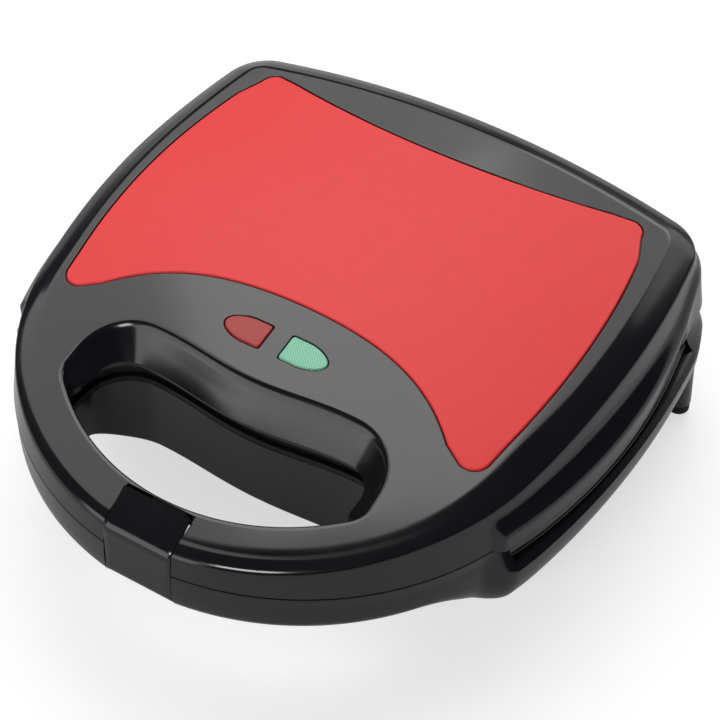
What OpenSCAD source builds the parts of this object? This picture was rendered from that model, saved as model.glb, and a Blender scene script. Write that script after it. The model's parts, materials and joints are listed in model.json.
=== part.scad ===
// Two-slice sandwich toaster: hinged lid, body on four feet, loop handle at the front and
// a clip that holds the lid down. Millimetres, +Z up, the handle points to -Y.

/* [Outline] */
// width over the upper outer edge of the lid
lid_width = 233; // [231:0.5:235]
// depth over the upper outer edge of the lid
lid_depth = 241.9; // [240:0.1:244]
// y of the upper outer edge at the nose
nose_y = -125.4; // [-127:0.1:-124]
// radius of each long side
side_radius = 357; // [350:1:365]
// turn of the front arc on each side of the nose, degrees
nose_turn = 79; // [78:0.5:80]
// radius of the two rear corners
corner_radius = 18; // [16:0.5:20]
// radius of the bowed rear edge
rear_radius = 820; // [760:10:880]

/* [Lid surface] */
// overall height, floor to the crown of the lid
crown_height = 98; // [97:0.5:99]
// radius of the crown from side to side
crown_side_radius = 690; // [660:5:720]
// radius of the crown's fall towards the nose
crown_front_radius = 571; // [550:5:600]
// y where the fall towards the nose starts
crown_flat_y = 53.6; // [50:0.5:56]
// fall of the sloped border at the sides and the rear
border_fall = 4.6; // [4:0.1:5.5]
// width of the sloped border at the sides and the rear
border_width = 10.6; // [9.5:0.1:11.5]
// fall of the sloped border at the nose
nose_border_fall = 0.9; // [0.6:0.1:1.4]
// width of the sloped border at the nose
nose_border_width = 7.5; // [6.5:0.1:8.5]
// draft of the lid wall, outward per millimetre down
wall_draft = 0.14; // [0.12:0.01:0.15]

/* [Walls and levels] */
// wall thickness of the two mouldings
wall = 2.8; // [2.5:0.1:3]
// height of the joint line between lid and body
seam_height = 58.5; // [58:0.1:59]
// gap between lid and body at the joint line
seam_gap = 0.3; // [0.3:0.05:0.5]
// height of the lower edge of the lid's side skirts
skirt_height = 53.5; // [53.2:0.1:54]
// height of the upper edge of the body beside the plates
band_height = 48.8; // [48.5:0.1:49.2]
// height of the flat underside below the plates
belly_height = 18; // [17:0.5:19]
// height of the underside at the handle
handle_height = 36.3; // [35.5:0.1:37]

/* [Side pods] */
// largest half width of a pod
pod_reach = 124.9; // [124:0.1:126]
// plan radius of a pod
pod_radius = 241.3; // [235:0.5:250]
// y of a pod's widest point
pod_mid_y = 25.8; // [24:0.1:28]
// y of a pod's front rib
pod_front_y = -51.5; // [-52.5:0.1:-50.5]
// y of a pod's rear end
pod_rear_y = 98; // [96:0.5:99]
// height of a pod's upper ledge
pod_height = 70.5; // [69.5:0.1:71.5]
// y of a skirt's front end
skirt_front_y = -48; // [-48.4:0.1:-47.4]
// y of a skirt's rear end
skirt_rear_y = 82; // [81:0.1:82.4]
// how far the body's side band stands out past the upper lid edge
band_reach = 10.2; // [9.8:0.1:10.4]

/* [Handle opening] */
// radius of the opening's front edge, about the centre of the nose arc
grip_radius = 94; // [93:0.5:95]
// radius of the opening's two front corners
grip_front_corner = 12; // [10:0.5:13]
// turn of the front edge on each side, degrees
grip_turn = 40; // [39:0.5:41]
// half distance between the two rear corner centres
grip_rear_x = 46.5; // [45:0.5:48]
// y of the rear corner centres
grip_rear_y = -69.5; // [-70.5:0.1:-68.5]
// radius of the opening's two rear corners
grip_rear_corner = 18; // [16:0.5:18.5]
// dip of the opening's rear edge at its middle
grip_dip = 4; // [3:0.1:5]
// lower edge of the lid moulding round the opening
grip_lip_height = 68; // [66:0.5:70]
// how far the rear and end walls of the opening lean in at their foot
grip_lean = 5; // [4:0.25:5.5]
// height where that lean ends
grip_lean_height = 72.5; // [71.5:0.25:73.5]

/* [Panel and lamps] */
// largest half width of the coloured panel
panel_reach = 100.6; // [100:0.1:101]
// plan radius of the panel's sides
panel_side_radius = 300; // [290:5:320]
// y of the panel's front edge at its middle
panel_front_y = -14; // [-15:0.1:-13]
// y of the panel's rear edge at its middle
panel_rear_y = 84.5; // [84:0.1:85.5]
// plan radius of the panel's rear edge
panel_rear_radius = 296; // [280:5:320]
// thickness of the panel
panel_thick = 1.6; // [1.5:0.1:1.7]
// groove round the panel
panel_groove = 0.5; // [0.4:0.05:0.6]
// inner end of each lamp lens
lens_inner_x = 4.5; // [4:0.1:5]
// outer tip of each lamp lens
lens_outer_x = 22.8; // [22:0.1:24]
// half depth of each lamp lens
lens_half_depth = 5.75; // [5:0.05:6]
// y of the middle of the lamp lenses
lens_y = -33.8; // [-35:0.1:-33]

/* [Cooking plates] */
// width of a plate's body
plate_width = 206.4; // [204:0.2:207]
// depth of a plate's body
plate_depth = 132.4; // [131:0.2:132.6]
// y of the middle of the plates
plate_y = 24; // [23.8:0.1:24.2]
// height where the two plates meet
parting_height = 51.15; // [51:0.05:51.3]
// gap between the closed plates
plate_gap = 1; // [0.6:0.1:1.2]
// thickness of a plate's flange
flange_thick = 2; // [1.8:0.1:2.1]
// how far the flange stands out round a plate
flange_reach = 2.8; // [2.4:0.1:3]
// depth of a plate, rim to back
plate_thick = 14.3; // [13.5:0.1:14.6]
// depth of each sandwich pocket
pocket_depth = 9.5; // [8:0.5:10]
// radius of the heating tube
tube_radius = 3.25; // [3:0.05:3.5]
// gap between parts that rest on each other
seat_gap = 0.05; // [0.02:0.01:0.1]

/* [Hinge] */
// y of the hinge axis
hinge_y = 122.9; // [122.6:0.1:123.2]
// radius of a hinge pin
hinge_pin_radius = 1.75; // [1.5:0.05:2]
// radius of a hinge knuckle
knuckle_radius = 4.7; // [4.4:0.1:4.8]
// length of a lid knuckle
lid_knuckle = 16; // [14:0.5:18]
// length of a body knuckle
body_knuckle = 8; // [7:0.5:9]
// gap between knuckles
knuckle_gap = 0.3; // [0.3:0.05:0.5]
// distance of each hinge from the middle
hinge_x = 70; // [68:0.5:72]
// running clearance of a pin in its bore
running_gap = 0.05; // [0.03:0.01:0.08]

/* [Clip] */
// half width of the clip
clip_half = 14.5; // [14:0.1:15]
// thickness of the clip's plate
clip_thick = 1.8; // [1.6:0.1:2]
// y of the clip's pin
clip_pin_y = -115; // [-115.3:0.1:-114.7]
// height of the clip's pin
clip_pin_z = 69.3; // [69.1:0.1:69.5]
// radius of the clip's pin
clip_pin_radius = 1.25; // [1.1:0.05:1.4]

/* [Feet and inlet] */
// radius of a foot's rubber pad
pad_radius = 7.2; // [6.8:0.1:7.6]
// thickness of a foot's rubber pad
pad_thick = 4; // [3.5:0.1:4.5]
// x of the rear feet
rear_foot_x = 111.2; // [110.5:0.1:111.5]
// y of the rear feet
rear_foot_y = 95; // [94:0.1:96]
// x of the front feet
front_foot_x = 84; // [80:0.5:88]
// y of the front feet
front_foot_y = -28; // [-32:0.5:-24]
// height of the cable inlet
inlet_height = 46; // [45:0.5:47]
// bore radius of the cable inlet
inlet_bore = 3.6; // [3.4:0.1:3.8]

/* [Hidden] */

slip = 0.2;
far = 400;

front_radius = side_radius - (side_radius - lid_width / 2) / sin(nose_turn);
front_mid = [0, nose_y + front_radius];
side_mid = front_mid - (side_radius - front_radius) * [sin(nose_turn), -cos(nose_turn)];
rear_edge_y = nose_y + lid_depth;
rear_mid = [0, rear_edge_y - rear_radius];
mid_line = rear_mid - side_mid;
mid_gap = norm(mid_line);
side_reach = side_radius - corner_radius;
rear_reach = rear_radius - corner_radius;
mid_along = (side_reach * side_reach - rear_reach * rear_reach + mid_gap * mid_gap) / (2 * mid_gap);
mid_across = sqrt(side_reach * side_reach - mid_along * mid_along);
corner_mid = side_mid + mid_along / mid_gap * mid_line
    + mid_across / mid_gap * [-mid_line[1], mid_line[0]];
corner_from = atan2(corner_mid[0] - side_mid[0], side_mid[1] - corner_mid[1]);
corner_to = atan2(corner_mid[0] - rear_mid[0], rear_mid[1] - corner_mid[1]);

function ease(a, b, t) = let (u = min(max((t - a) / (b - a), 0), 1)) u * u * (3 - 2 * u);
function mix(a, b, t) = a + (b - a) * t;
function aim(a) = [sin(a), -cos(a)];
function crown(x, y) = crown_height - x * x / (2 * crown_side_radius)
    - pow(min(y - crown_flat_y, 0), 2) / (2 * crown_front_radius);

right_arcs = concat(
    [for (a = [0 : 7 : 63]) [front_mid, front_radius, a]],
    [for (a = [66 : 1.6 : nose_turn - 0.1]) [front_mid, front_radius, a]],
    [for (i = [0 : 6]) [side_mid, side_radius, mix(nose_turn, corner_from, i / 7)]],
    [for (i = [0 : 5]) [corner_mid, corner_radius, mix(corner_from, corner_to, i / 6)]],
    [for (i = [0 : 3]) [rear_mid, rear_radius, mix(corner_to, 180, i / 4)]]);
right_edge = [for (s = right_arcs) s[0] + s[1] * aim(s[2])];
right_aim = [for (s = right_arcs) aim(s[2])];
right_count = len(right_arcs);
edge = concat(right_edge, [[0, rear_edge_y]],
    [for (i = [right_count - 1 : -1 : 1]) [-right_edge[i][0], right_edge[i][1]]]);
edge_aim = concat(right_aim, [[0, 1]],
    [for (i = [right_count - 1 : -1 : 1]) [-right_aim[i][0], right_aim[i][1]]]);
count = len(edge);
edge_z = [for (p = edge) crown(p[0], p[1])
    - mix(nose_border_fall, border_fall, ease(-90, -20, p[1]))];
border = [for (p = edge) mix(nose_border_width, border_width, ease(-90, -20, p[1]))];

// the centre that the inner rings of the shells close on
core = [0, 8];
function shrink(p, s) = core + (p - core) * s;

// share of the plate region in the body's section, and in its depth
function plate_share(y) = ease(-57, -47, y) * (1 - ease(78, 126, y));
function depth_share(y) = ease(-80, -45, y);

// closed skin through rings with the same number of points, lowest ring first
module skin(rings, low, high) {
    n = len(rings[0]);
    last = len(rings) - 1;
    points = concat([for (r = rings) each r], [low, high]);
    sides = [for (k = [0 : last - 1], i = [0 : n - 1]) each let (j = (i + 1) % n, a = k * n, b = a + n)
        [[a + i, b + i, b + j], [a + i, b + j, a + j]]];
    ends = [for (i = [0 : n - 1]) each let (j = (i + 1) % n, b = last * n)
        [[len(points) - 2, i, j], [len(points) - 1, b + j, b + i]]];
    polyhedron(points = points, faces = concat(sides, ends), convexity = 8);
}

function ring(flat, z) = [for (i = [0 : len(flat) - 1]) [flat[i][0], flat[i][1], z[i]]];

// lid from the joint line to the crown; inset is the wall to take off all round
module lid_form(inset) {
    lowest = seam_height + seam_gap / 2 - (inset > 0 ? 6 : 0);
    drop = inset;
    wide = [for (i = [0 : count - 1]) edge[i]
        + (wall_draft * (edge_z[i] - lowest) - inset) * edge_aim[i]];
    top = [for (i = [0 : count - 1]) edge[i] + (wall_draft * (0.7 + inset) - inset) * edge_aim[i]];
    soft = [for (i = [0 : count - 1]) edge[i] - (inset + 0.7) * edge_aim[i]];
    flat = [for (i = [0 : count - 1]) edge[i] - (border[i] + inset * 0.6) * edge_aim[i]];
    inner = [for (s = [0.8, 0.6, 0.4, 0.2]) [for (p = flat) shrink(p, s)]];
    skin(concat(
        [ring(wide, [for (p = edge) lowest])],
        [ring(top, [for (z = edge_z) z - 0.7 - drop])],
        [ring(soft, [for (z = edge_z) z - drop])],
        [ring(flat, [for (p = flat) crown(p[0], p[1]) - drop])],
        [for (r = inner) ring(r, [for (p = r) crown(p[0], p[1]) - drop])]),
        [core[0], core[1], lowest],
        [core[0], core[1], crown(core[0], core[1]) - drop]);
}

// plan of the two side pods together, from front to rear
function pod_plan(grow, front, rear, blunt) = let (
    mid_x = pod_reach - pod_radius, r = pod_radius + grow,
    ys = concat([front, front + blunt / 3, front + blunt],
        [for (i = [1 : 7]) mix(front + blunt, rear - blunt, i / 8)], [rear - blunt, rear]),
    cut = concat([blunt, blunt / 4, 0], [for (i = [1 : 7]) 0], [0, blunt]),
    right = [for (i = [0 : len(ys) - 1])
        [mid_x + sqrt(r * r - pow(ys[i] - pod_mid_y, 2)) - cut[i], ys[i]]])
    concat(right, [for (i = [len(right) - 1 : -1 : 0]) [-right[i][0], right[i][1]]]);

module pod_layer(z, grow, front, rear, blunt) {
    translate([0, 0, z - 0.01]) linear_extrude(0.01) polygon(pod_plan(grow, front, rear, blunt));
}

module pod_form(inset) {
    front = pod_front_y + inset;
    rear = pod_rear_y - inset;
    lowest = seam_height + seam_gap / 2 - (inset > 0 ? 6 : 0);
    hull() {
        pod_layer(pod_height - inset, -6.5 - inset, front, rear, 2.4);
        pod_layer(pod_height - 3.5 - inset, -1.5 - inset, front, rear, 2.4);
        pod_layer(lowest + 0.01, -0.5 - inset, front, rear, 2.4);
    }
}

module skirt_form(inset) {
    hull() {
        pod_layer(seam_height + seam_gap, -0.5 - inset, skirt_front_y + inset, skirt_rear_y - inset, 2);
        pod_layer(skirt_height - (inset > 0 ? 2 : 0) + 0.01, -inset, skirt_front_y + inset,
            skirt_rear_y - inset, 2);
    }
}

// the skirts hang outside this half width only
skirt_inner_x = 106;

// plan of the handle opening, grown by d
grip_front_mid = front_mid + (grip_radius - grip_front_corner) * aim(grip_turn);
grip_bump_y = grip_rear_y + grip_rear_corner;
function grip_right(d, lean) = let (e = d - lean) concat(
    [for (i = [0 : 5]) front_mid + (grip_radius + d) * aim(mix(0, grip_turn, i / 6))],
    [for (i = [0 : 5]) grip_front_mid
        + (grip_front_corner + mix(d, e, ease(0, 5, i))) * aim(mix(grip_turn, 92, i / 5))],
    [for (i = [0 : 5]) [grip_rear_x, grip_rear_y]
        + (grip_rear_corner + e) * aim(mix(92, 180, i / 5))],
    [for (i = [1 : 5]) let (x = grip_rear_x * (1 - i / 6))
        [x, grip_bump_y + e - grip_dip * pow(cos(90 * x / grip_rear_x), 2)]]);
function grip_plan(d, lean = 0) = let (right = grip_right(d, lean)) concat(right,
    [[0, grip_bump_y + d - lean - grip_dip]],
    [for (i = [len(right) - 1 : -1 : 1]) [-right[i][0], right[i][1]]]);

module grip(d, z0, z1) {
    translate([0, 0, z0]) linear_extrude(z1 - z0) polygon(grip_plan(d));
}

// the lid's opening, with walls that lean in towards their foot
module grip_funnel() {
    top = grip_plan(0);
    foot = grip_plan(0, grip_lean);
    skin([[for (p = foot) [p[0], p[1], 0]], [for (p = foot) [p[0], p[1], grip_lean_height]],
        [for (p = top) [p[0], p[1], crown(p[0], p[1])]], [for (p = top) [p[0], p[1], crown_height + 1]]],
        [0, grip_rear_y, 0], [0, grip_rear_y, crown_height + 1]);
}

// slab that follows the crown, between lo and hi above it
module crown_slab(plan, mid, lo, hi) {
    steps = [0.35, 0.7, 1];
    skin(concat(
        [for (s = steps) [for (p = plan) let (q = mid + (p - mid) * s)
            [q[0], q[1], crown(q[0], q[1]) + lo]]],
        [for (s = [1, 0.7, 0.35]) [for (p = plan) let (q = mid + (p - mid) * s)
            [q[0], q[1], crown(q[0], q[1]) + hi]]]),
        [mid[0], mid[1], crown(mid[0], mid[1]) + lo],
        [mid[0], mid[1], crown(mid[0], mid[1]) + hi]);
}

// plan of the coloured panel, grown by d
panel_widest_y = 20;
panel_front_corner = [88.5, -37];
panel_front_corner_radius = 7;
panel_rear_corner = [84, 90];
panel_rear_corner_radius = 6;
function panel_front(x) = panel_front_y - 0.00191 * x * x - 3.555e-7 * pow(x, 4);
function panel_side(y) = panel_reach - panel_side_radius
    + sqrt(panel_side_radius * panel_side_radius - pow(y - panel_widest_y, 2));
function panel_rear(x) = panel_rear_y + panel_rear_radius
    - sqrt(panel_rear_radius * panel_rear_radius - x * x);
function panel_right(d) = concat(
    [for (i = [0 : 6]) let (x = i * 80 / 6) [x, panel_front(x) - d]],
    [for (i = [0 : 4]) panel_front_corner + (panel_front_corner_radius + d) * aim(mix(-20, 82, i / 4))],
    [for (i = [1 : 6]) let (y = mix(-33, 87, i / 6.5)) [panel_side(y) + d, y]],
    [for (i = [0 : 4]) panel_rear_corner + (panel_rear_corner_radius + d) * aim(mix(92, 185, i / 4))],
    [for (i = [1 : 5]) let (x = 80 * (1 - i / 6)) [x, panel_rear(x) + d]]);
function panel_plan(d) = let (right = panel_right(d)) concat(right, [[0, panel_rear(0) + d]],
    [for (i = [len(right) - 1 : -1 : 1]) [-right[i][0], right[i][1]]]);
panel_mid = [0, 30];

// plan of one lamp lens: straight inner end, pointed outer end
function lens_plan(s, d) = let (flat_x = lens_inner_x + 8, tip = lens_outer_x + d - flat_x,
    h = lens_half_depth + d,
    arc = [for (i = [0 : 8]) let (a = -90 + i * 22.5) [flat_x + tip * cos(a), lens_y + h * sin(a)]],
    loop = concat([[lens_inner_x - d, lens_y - h]], arc, [[lens_inner_x - d, lens_y + h]]))
    s > 0 ? loop : [for (i = [len(loop) - 1 : -1 : 0]) [-loop[i][0], loop[i][1]]];
function lens_mid(s) = [s * (lens_inner_x + lens_outer_x) / 2, lens_y];
lens_depth = 5;

// screws that hold the liners to the shells
screw_spots = [[80, -62], [-80, -62], [40, 99], [-40, 99]];
screw_radius = 1.75;
screw_head_radius = 3.4;
lid_boss_z = 66;
base_boss_z = 38;
base_head_z = 35;

module column(spot, radius, z0, z1, root) {
    hull() {
        translate([spot[0], spot[1], z0]) cylinder(r = radius, h = z1 - z0, $fn = 24);
        translate([spot[0], spot[1], root]) cylinder(r = radius + 1.2, h = 0.5, $fn = 24);
    }
}

// notch for the clip in the nose of both shells
notch_half = clip_half + 0.6;
notch_rear_y = -108.5;
notch_floor_z = 59.7;
base_notch_y = -120.4;
base_notch_z = 38.6;

module hinge_scoop(x_sign) {
    span = lid_knuckle + 2 * body_knuckle + 2 * knuckle_gap + 2;
    translate([x_sign * hinge_x - span / 2, hinge_y, seam_height]) rotate([0, 90, 0])
        cylinder(r = knuckle_radius + 0.5, h = span, $fn = 40);
}

lid_flange_z = seam_height + 0.4;
lid_flange_top = seam_height + 3.4;
base_flange_top = seam_height - 0.4;
base_flange_z = seam_height - 3.4;
flange_front_y = 104;

module lid_shell() {
    color([0.05, 0.05, 0.055]) difference() {
        union() {
            lid_form(0);
            pod_form(0);
            difference() {
                skirt_form(0);
                skirt_form(wall);
                translate([-skirt_inner_x, -far / 2, 0]) cube([2 * skirt_inner_x, far, seam_height + seam_gap / 2]);
            }
        }
        difference() {
            union() {
                lid_form(wall);
                pod_form(wall);
            }
            grip(2.4, grip_lip_height, crown_height);
            for (s = screw_spots) column(s, 5, lid_boss_z, crown_height - 2, crown_height - 2);
            for (x = [-1, 1]) hull() {
                translate([x * 30, lens_y - 3, lens_seat_z]) cylinder(r = 3, h = 14, $fn = 24);
                translate([x * 30, lens_y + 3, lens_seat_z]) cylinder(r = 3, h = 14, $fn = 24);
            }
            hull() for (x = [-1, 1], y = [0, 1])
                translate([x * (notch_half + 1), mix(notch_rear_y + 3.5, -140, y), seam_height])
                    cylinder(r = 3, h = 40, $fn = 24);
            hull() {
                translate([0, lens_y - 8, lens_seat_z]) cylinder(r = 1.5, h = 14, $fn = 24);
                translate([0, lens_y + 8, lens_seat_z]) cylinder(r = 1.5, h = 14, $fn = 24);
            }
        }
        grip_funnel();
        crown_slab(panel_plan(panel_groove), panel_mid, -panel_thick - seat_gap, 4);
        crown_slab(lens_plan(1, 0.15), lens_mid(1), -12, 4);
        crown_slab(lens_plan(-1, 0.15), lens_mid(-1), -12, 4);
        translate([-notch_half, -140, notch_floor_z]) cube([2 * notch_half, 140 + notch_rear_y, 40]);
        translate([-notch_half, -140, 0]) cube([2 * notch_half, 140 + base_notch_y, 70]);
        for (x = [-1, 1]) {
            hinge_scoop(x);
            translate([x * hinge_x - lid_knuckle / 2 - 0.1, flange_front_y - 1, seam_height])
                cube([lid_knuckle + 0.2, 30, lid_flange_top + 0.1 - seam_height]);
        }
        for (s = screw_spots) translate([s[0], s[1], lid_boss_z - 1])
            cylinder(r = screw_radius + 0.1, h = 9, $fn = 24);
    }
}

lens_seat_z = crown_height - 14;

module lid_panel() {
    color([0.86, 0.32, 0.33]) crown_slab(panel_plan(0), panel_mid, -panel_thick, 0.1);
}

module lens_red() {
    color([0.85, 0.25, 0.25]) crown_slab(lens_plan(-1, 0), lens_mid(-1), -lens_depth, 0.5);
}

module lens_green() {
    color([0.35, 0.78, 0.55]) crown_slab(lens_plan(1, 0), lens_mid(1), -lens_depth, 0.5);
}

// tray below the lenses that carries the two glow lamps
module lamp_holder() {
    color([0.12, 0.12, 0.13]) difference() {
        translate([-34, lens_y - 8, lens_seat_z - 8]) cube([68, 16, 8 - seat_gap]);
        for (x = [-1, 1]) translate([x * 13.5 - 9.5, lens_y - 5.5, lens_seat_z - 7]) cube([19, 11, 8]);
        for (x = [-1, 1]) translate([x * 30, lens_y, lens_seat_z - 10]) cylinder(r = 1.5, h = 12, $fn = 24);
    }
}

module neon_lamps() {
    color([0.95, 0.6, 0.4]) for (x = [-1, 1])
        translate([x * 13.5 - 7, lens_y, lens_seat_z - 7 + 3 + seat_gap]) rotate([0, 90, 0])
            cylinder(r = 3, h = 14, $fn = 24);
}

// plate bodies, liners and heating parts; side +1 is the lid, -1 the body
function level(side, h) = parting_height + side * (plate_gap / 2 + h);

module slab(side, x0, x1, y0, y1, h0, h1) {
    z0 = min(level(side, h0), level(side, h1));
    z1 = max(level(side, h0), level(side, h1));
    translate([x0, y0, z0]) cube([x1 - x0, y1 - y0, z1 - z0]);
}

module rounded_slab(side, w, d, r, h0, h1) {
    z0 = min(level(side, h0), level(side, h1));
    tall = abs(h1 - h0);
    slab(side, r - w / 2, w / 2 - r, plate_y - d / 2, plate_y + d / 2, h0, h1);
    slab(side, -w / 2, w / 2, plate_y + r - d / 2, plate_y + d / 2 - r, h0, h1);
    for (x = [r - w / 2, w / 2 - r], y = [r - d / 2, d / 2 - r])
        translate([x, plate_y + y, z0]) cylinder(r = r, h = tall, $fn = 32);
}

pocket_w = 92;
pocket_d = 116;
pocket_x = 51;
ridge = 3;
stud_x = 98;
stud_y = 40;
stud_h = 8.2;

module pocket(side, x_sign, half) {
    z0 = min(level(side, -1), level(side, pocket_depth));
    w = pocket_w / 2;
    d = pocket_d / 2;
    far_corner = half > 0
        ? [[-w, ridge - d], [w - ridge, d], [-w, d]]
        : [[ridge - w, -d], [w, -d], [w, d - ridge]];
    translate([x_sign * pocket_x, plate_y, z0]) linear_extrude(pocket_depth + 1)
        polygon([for (p = far_corner) [p[0] * x_sign, p[1]]]);
}

module plate_body(side) {
    difference() {
        union() {
            rounded_slab(side, plate_width + 2 * flange_reach, plate_depth + 2 * flange_reach, 12,
                0, flange_thick);
            rounded_slab(side, plate_width, plate_depth, 10, flange_thick / 2, plate_thick);
            for (x = [-1, 1], y = [-1, 1])
                translate([x * 84, plate_y + y * stud_y, min(level(side, plate_thick - 1), level(side, plate_thick + stud_h))])
                    cylinder(r = 4.5, h = stud_h + 1, $fn = 24);
        }
        for (x = [-1, 1], half = [-1, 1]) pocket(side, x, half);
        for (x = [-1, 1], y = [-1, 1])
            translate([x * 84, plate_y + y * stud_y, min(level(side, plate_thick), level(side, plate_thick + stud_h + 1))])
                cylinder(r = screw_radius + running_gap, h = stud_h + 1, $fn = 24);
    }
}

module plate_screws(side) {
    head = plate_thick + stud_h + 0.9;
    for (x = [-1, 1], y = [-1, 1]) translate([x * 84, plate_y + y * stud_y, 0]) {
        translate([0, 0, min(level(side, plate_thick + 1), level(side, head))])
            cylinder(r = screw_radius, h = head - plate_thick - 1, $fn = 24);
        translate([0, 0, min(level(side, head), level(side, head + 2.2))])
            cylinder(r = screw_head_radius, h = 2.2, $fn = 24);
    }
}

tube_h = plate_thick + tube_radius + seat_gap;
tube_half_x = 55;
tube_half_y = 22;
module element(side) {
    translate([0, plate_y, level(side, tube_h)]) {
        for (y = [-1, 1]) translate([-tube_half_x - 22, y * tube_half_y, 0]) rotate([0, 90, 0])
            cylinder(r = tube_radius, h = 2 * tube_half_x + 22, $fn = 32);
        translate([tube_half_x, 0, 0]) rotate([0, 0, -90]) rotate_extrude(angle = 180, $fn = 64)
            translate([tube_half_y, 0]) circle(r = tube_radius, $fn = 32);
    }
}

module element_clamps(side) {
    h0 = plate_thick + seat_gap;
    h1 = plate_thick + 2 * tube_radius + 1.2;
    z0 = min(level(side, h0), level(side, h1));
    for (x = [-1, 1], y = [-1, 1]) difference() {
        translate([x * 30 - 5, plate_y + y * tube_half_y - 8, z0]) cube([10, 16, h1 - h0]);
        translate([x * 30 - 6, plate_y + y * tube_half_y, level(side, tube_h)]) rotate([0, 90, 0])
            cylinder(r = tube_radius + running_gap, h = 12, $fn = 32);
        slab(side, x * 30 - 6, x * 30 + 6, plate_y + y * tube_half_y - tube_radius - running_gap,
            plate_y + y * tube_half_y + tube_radius + running_gap, h0 - 1, tube_h);
    }
}

// sheet tray over the heating tube
tray_top = plate_thick + stud_h + 0.85;
module reflector(side) {
    difference() {
        slab(side, -96, 96, plate_y - 60, plate_y + 60, plate_thick + seat_gap, tray_top);
        slab(side, -95.2, 95.2, plate_y - 59.2, plate_y + 59.2, 0, tray_top - 0.8);
        for (x = [-1, 1], y = [-1, 1]) translate([x * 84, plate_y + y * stud_y, 0])
            cylinder(r = screw_radius + 0.1, h = 120, $fn = 24);
    }
}

module upper_plate() {
    color([0.22, 0.22, 0.23]) plate_body(1);
}

module lower_plate() {
    color([0.22, 0.22, 0.23]) plate_body(-1);
}

module upper_plate_screws() {
    color([0.72, 0.72, 0.74]) plate_screws(1);
}

module lower_plate_screws() {
    color([0.72, 0.72, 0.74]) plate_screws(-1);
}

module upper_element() {
    color([0.5, 0.48, 0.45]) element(1);
}

module lower_element() {
    color([0.5, 0.48, 0.45]) element(-1);
}

module upper_element_clamps() {
    color([0.75, 0.75, 0.76]) element_clamps(1);
}

module lower_element_clamps() {
    color([0.75, 0.75, 0.76]) element_clamps(-1);
}

module upper_reflector() {
    color([0.8, 0.8, 0.82]) reflector(1);
}

module lower_reflector() {
    color([0.8, 0.8, 0.82]) reflector(-1);
}

// window for a plate in its liner
module plate_window(z0, z1) {
    w = plate_width / 2 + slip;
    d = plate_depth / 2 + slip;
    hull() for (x = [-1, 1], y = [-1, 1])
        translate([x * (w - 10), plate_y + y * (d - 10), z0]) cylinder(r = 10, h = z1 - z0, $fn = 32);
}

lid_frame_z = level(1, flange_thick + seat_gap);
lid_deck_z = seam_height + seam_gap;
deck = 2.5;
tub_front_y = -44.7;
tub_rear_y = 93.4;

module lid_liner() {
    color([0.1, 0.1, 0.1]) difference() {
        union() {
            intersection() {
                translate([0, 0, lid_deck_z]) linear_extrude(deck) polygon([for (i = [0 : count - 1])
                    edge[i] + (wall_draft * (edge_z[i] - lid_deck_z - deck) - wall - slip) * edge_aim[i]]);
                union() {
                    translate([-far / 2, -far / 2, 0]) cube([far, far / 2 - 48.5, far]);
                    translate([-far / 2, 84, 0]) cube([far, far, far]);
                    translate([-104, -far / 2, 0]) cube([208, far, far]);
                }
            }
            intersection() {
                translate([0, 0, lid_frame_z]) linear_extrude(lid_deck_z + deck - lid_frame_z)
                    polygon(pod_plan(-wall - 1.5, skirt_front_y + wall + 0.3, skirt_rear_y - wall - 0.3, 2));
                union() {
                    translate([-far / 2, -far / 2, 0]) cube([far, far, lid_frame_z + deck]);
                    difference() {
                        translate([-far / 2, -far / 2, 0]) cube([far, far, far]);
                        translate([-112, -far / 2, 0]) cube([224, far, far]);
                    }
                }
            }
            translate([-105.2, tub_front_y, lid_frame_z])
                cube([210.4, tub_rear_y - tub_front_y, lid_deck_z + deck - lid_frame_z]);
            grip(4.8, lid_deck_z, grip_lip_height + 2);
            for (s = screw_spots) translate([s[0], s[1], lid_deck_z])
                cylinder(r = 5.2, h = lid_boss_z - seat_gap - lid_deck_z, $fn = 24);
            for (s = screw_spots) hull() {
                translate([s[0] - 7, s[1] - 1, lid_deck_z]) cube([14, 2, deck]);
                translate([s[0] - 5, s[1] - 1, lid_deck_z]) cube([10, 2, deck + 3]);
            }
            for (x = [-1, 1]) hull() {
                translate([x * 60, 95, lid_deck_z]) cylinder(r = 1.5, h = deck + 0.5, $fn = 24);
                translate([x * 85, 95, lid_deck_z]) cylinder(r = 1.5, h = deck + 0.5, $fn = 24);
            }
            for (x = [-1, 1]) hull() {
                translate([x * 90, -52, lid_deck_z]) cylinder(r = 1, h = deck + 2, $fn = 24);
                translate([x * 80, -48, lid_deck_z]) cylinder(r = 1, h = deck + 2, $fn = 24);
            }
        }
        plate_window(lid_frame_z - 1, lid_deck_z + deck + 1);
        grip(2.6, 0, far);
        translate([-notch_half - 4.3, -140, 0]) cube([2 * notch_half + 8.6, 140 + notch_rear_y + 6.8, far]);
        for (x = [-1, 1]) translate([x * hinge_x - lid_knuckle / 2 - 0.3, flange_front_y - 0.3, 0])
            cube([lid_knuckle + 0.6, 30, far]);
        for (s = screw_spots) translate([s[0], s[1], 0]) {
            cylinder(r = screw_head_radius + 0.2, h = lid_boss_z - 3, $fn = 24);
            cylinder(r = screw_radius + 0.1, h = far, $fn = 24);
        }
    }
}

module lid_screws() {
    color([0.72, 0.72, 0.74]) for (s = screw_spots) translate([s[0], s[1], 0]) {
        translate([0, 0, lid_boss_z - 5.3]) cylinder(r = screw_head_radius, h = 2.3 - seat_gap, $fn = 24);
        translate([0, 0, lid_boss_z - 4]) cylinder(r = screw_radius, h = 11, $fn = 24);
    }
}

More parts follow.
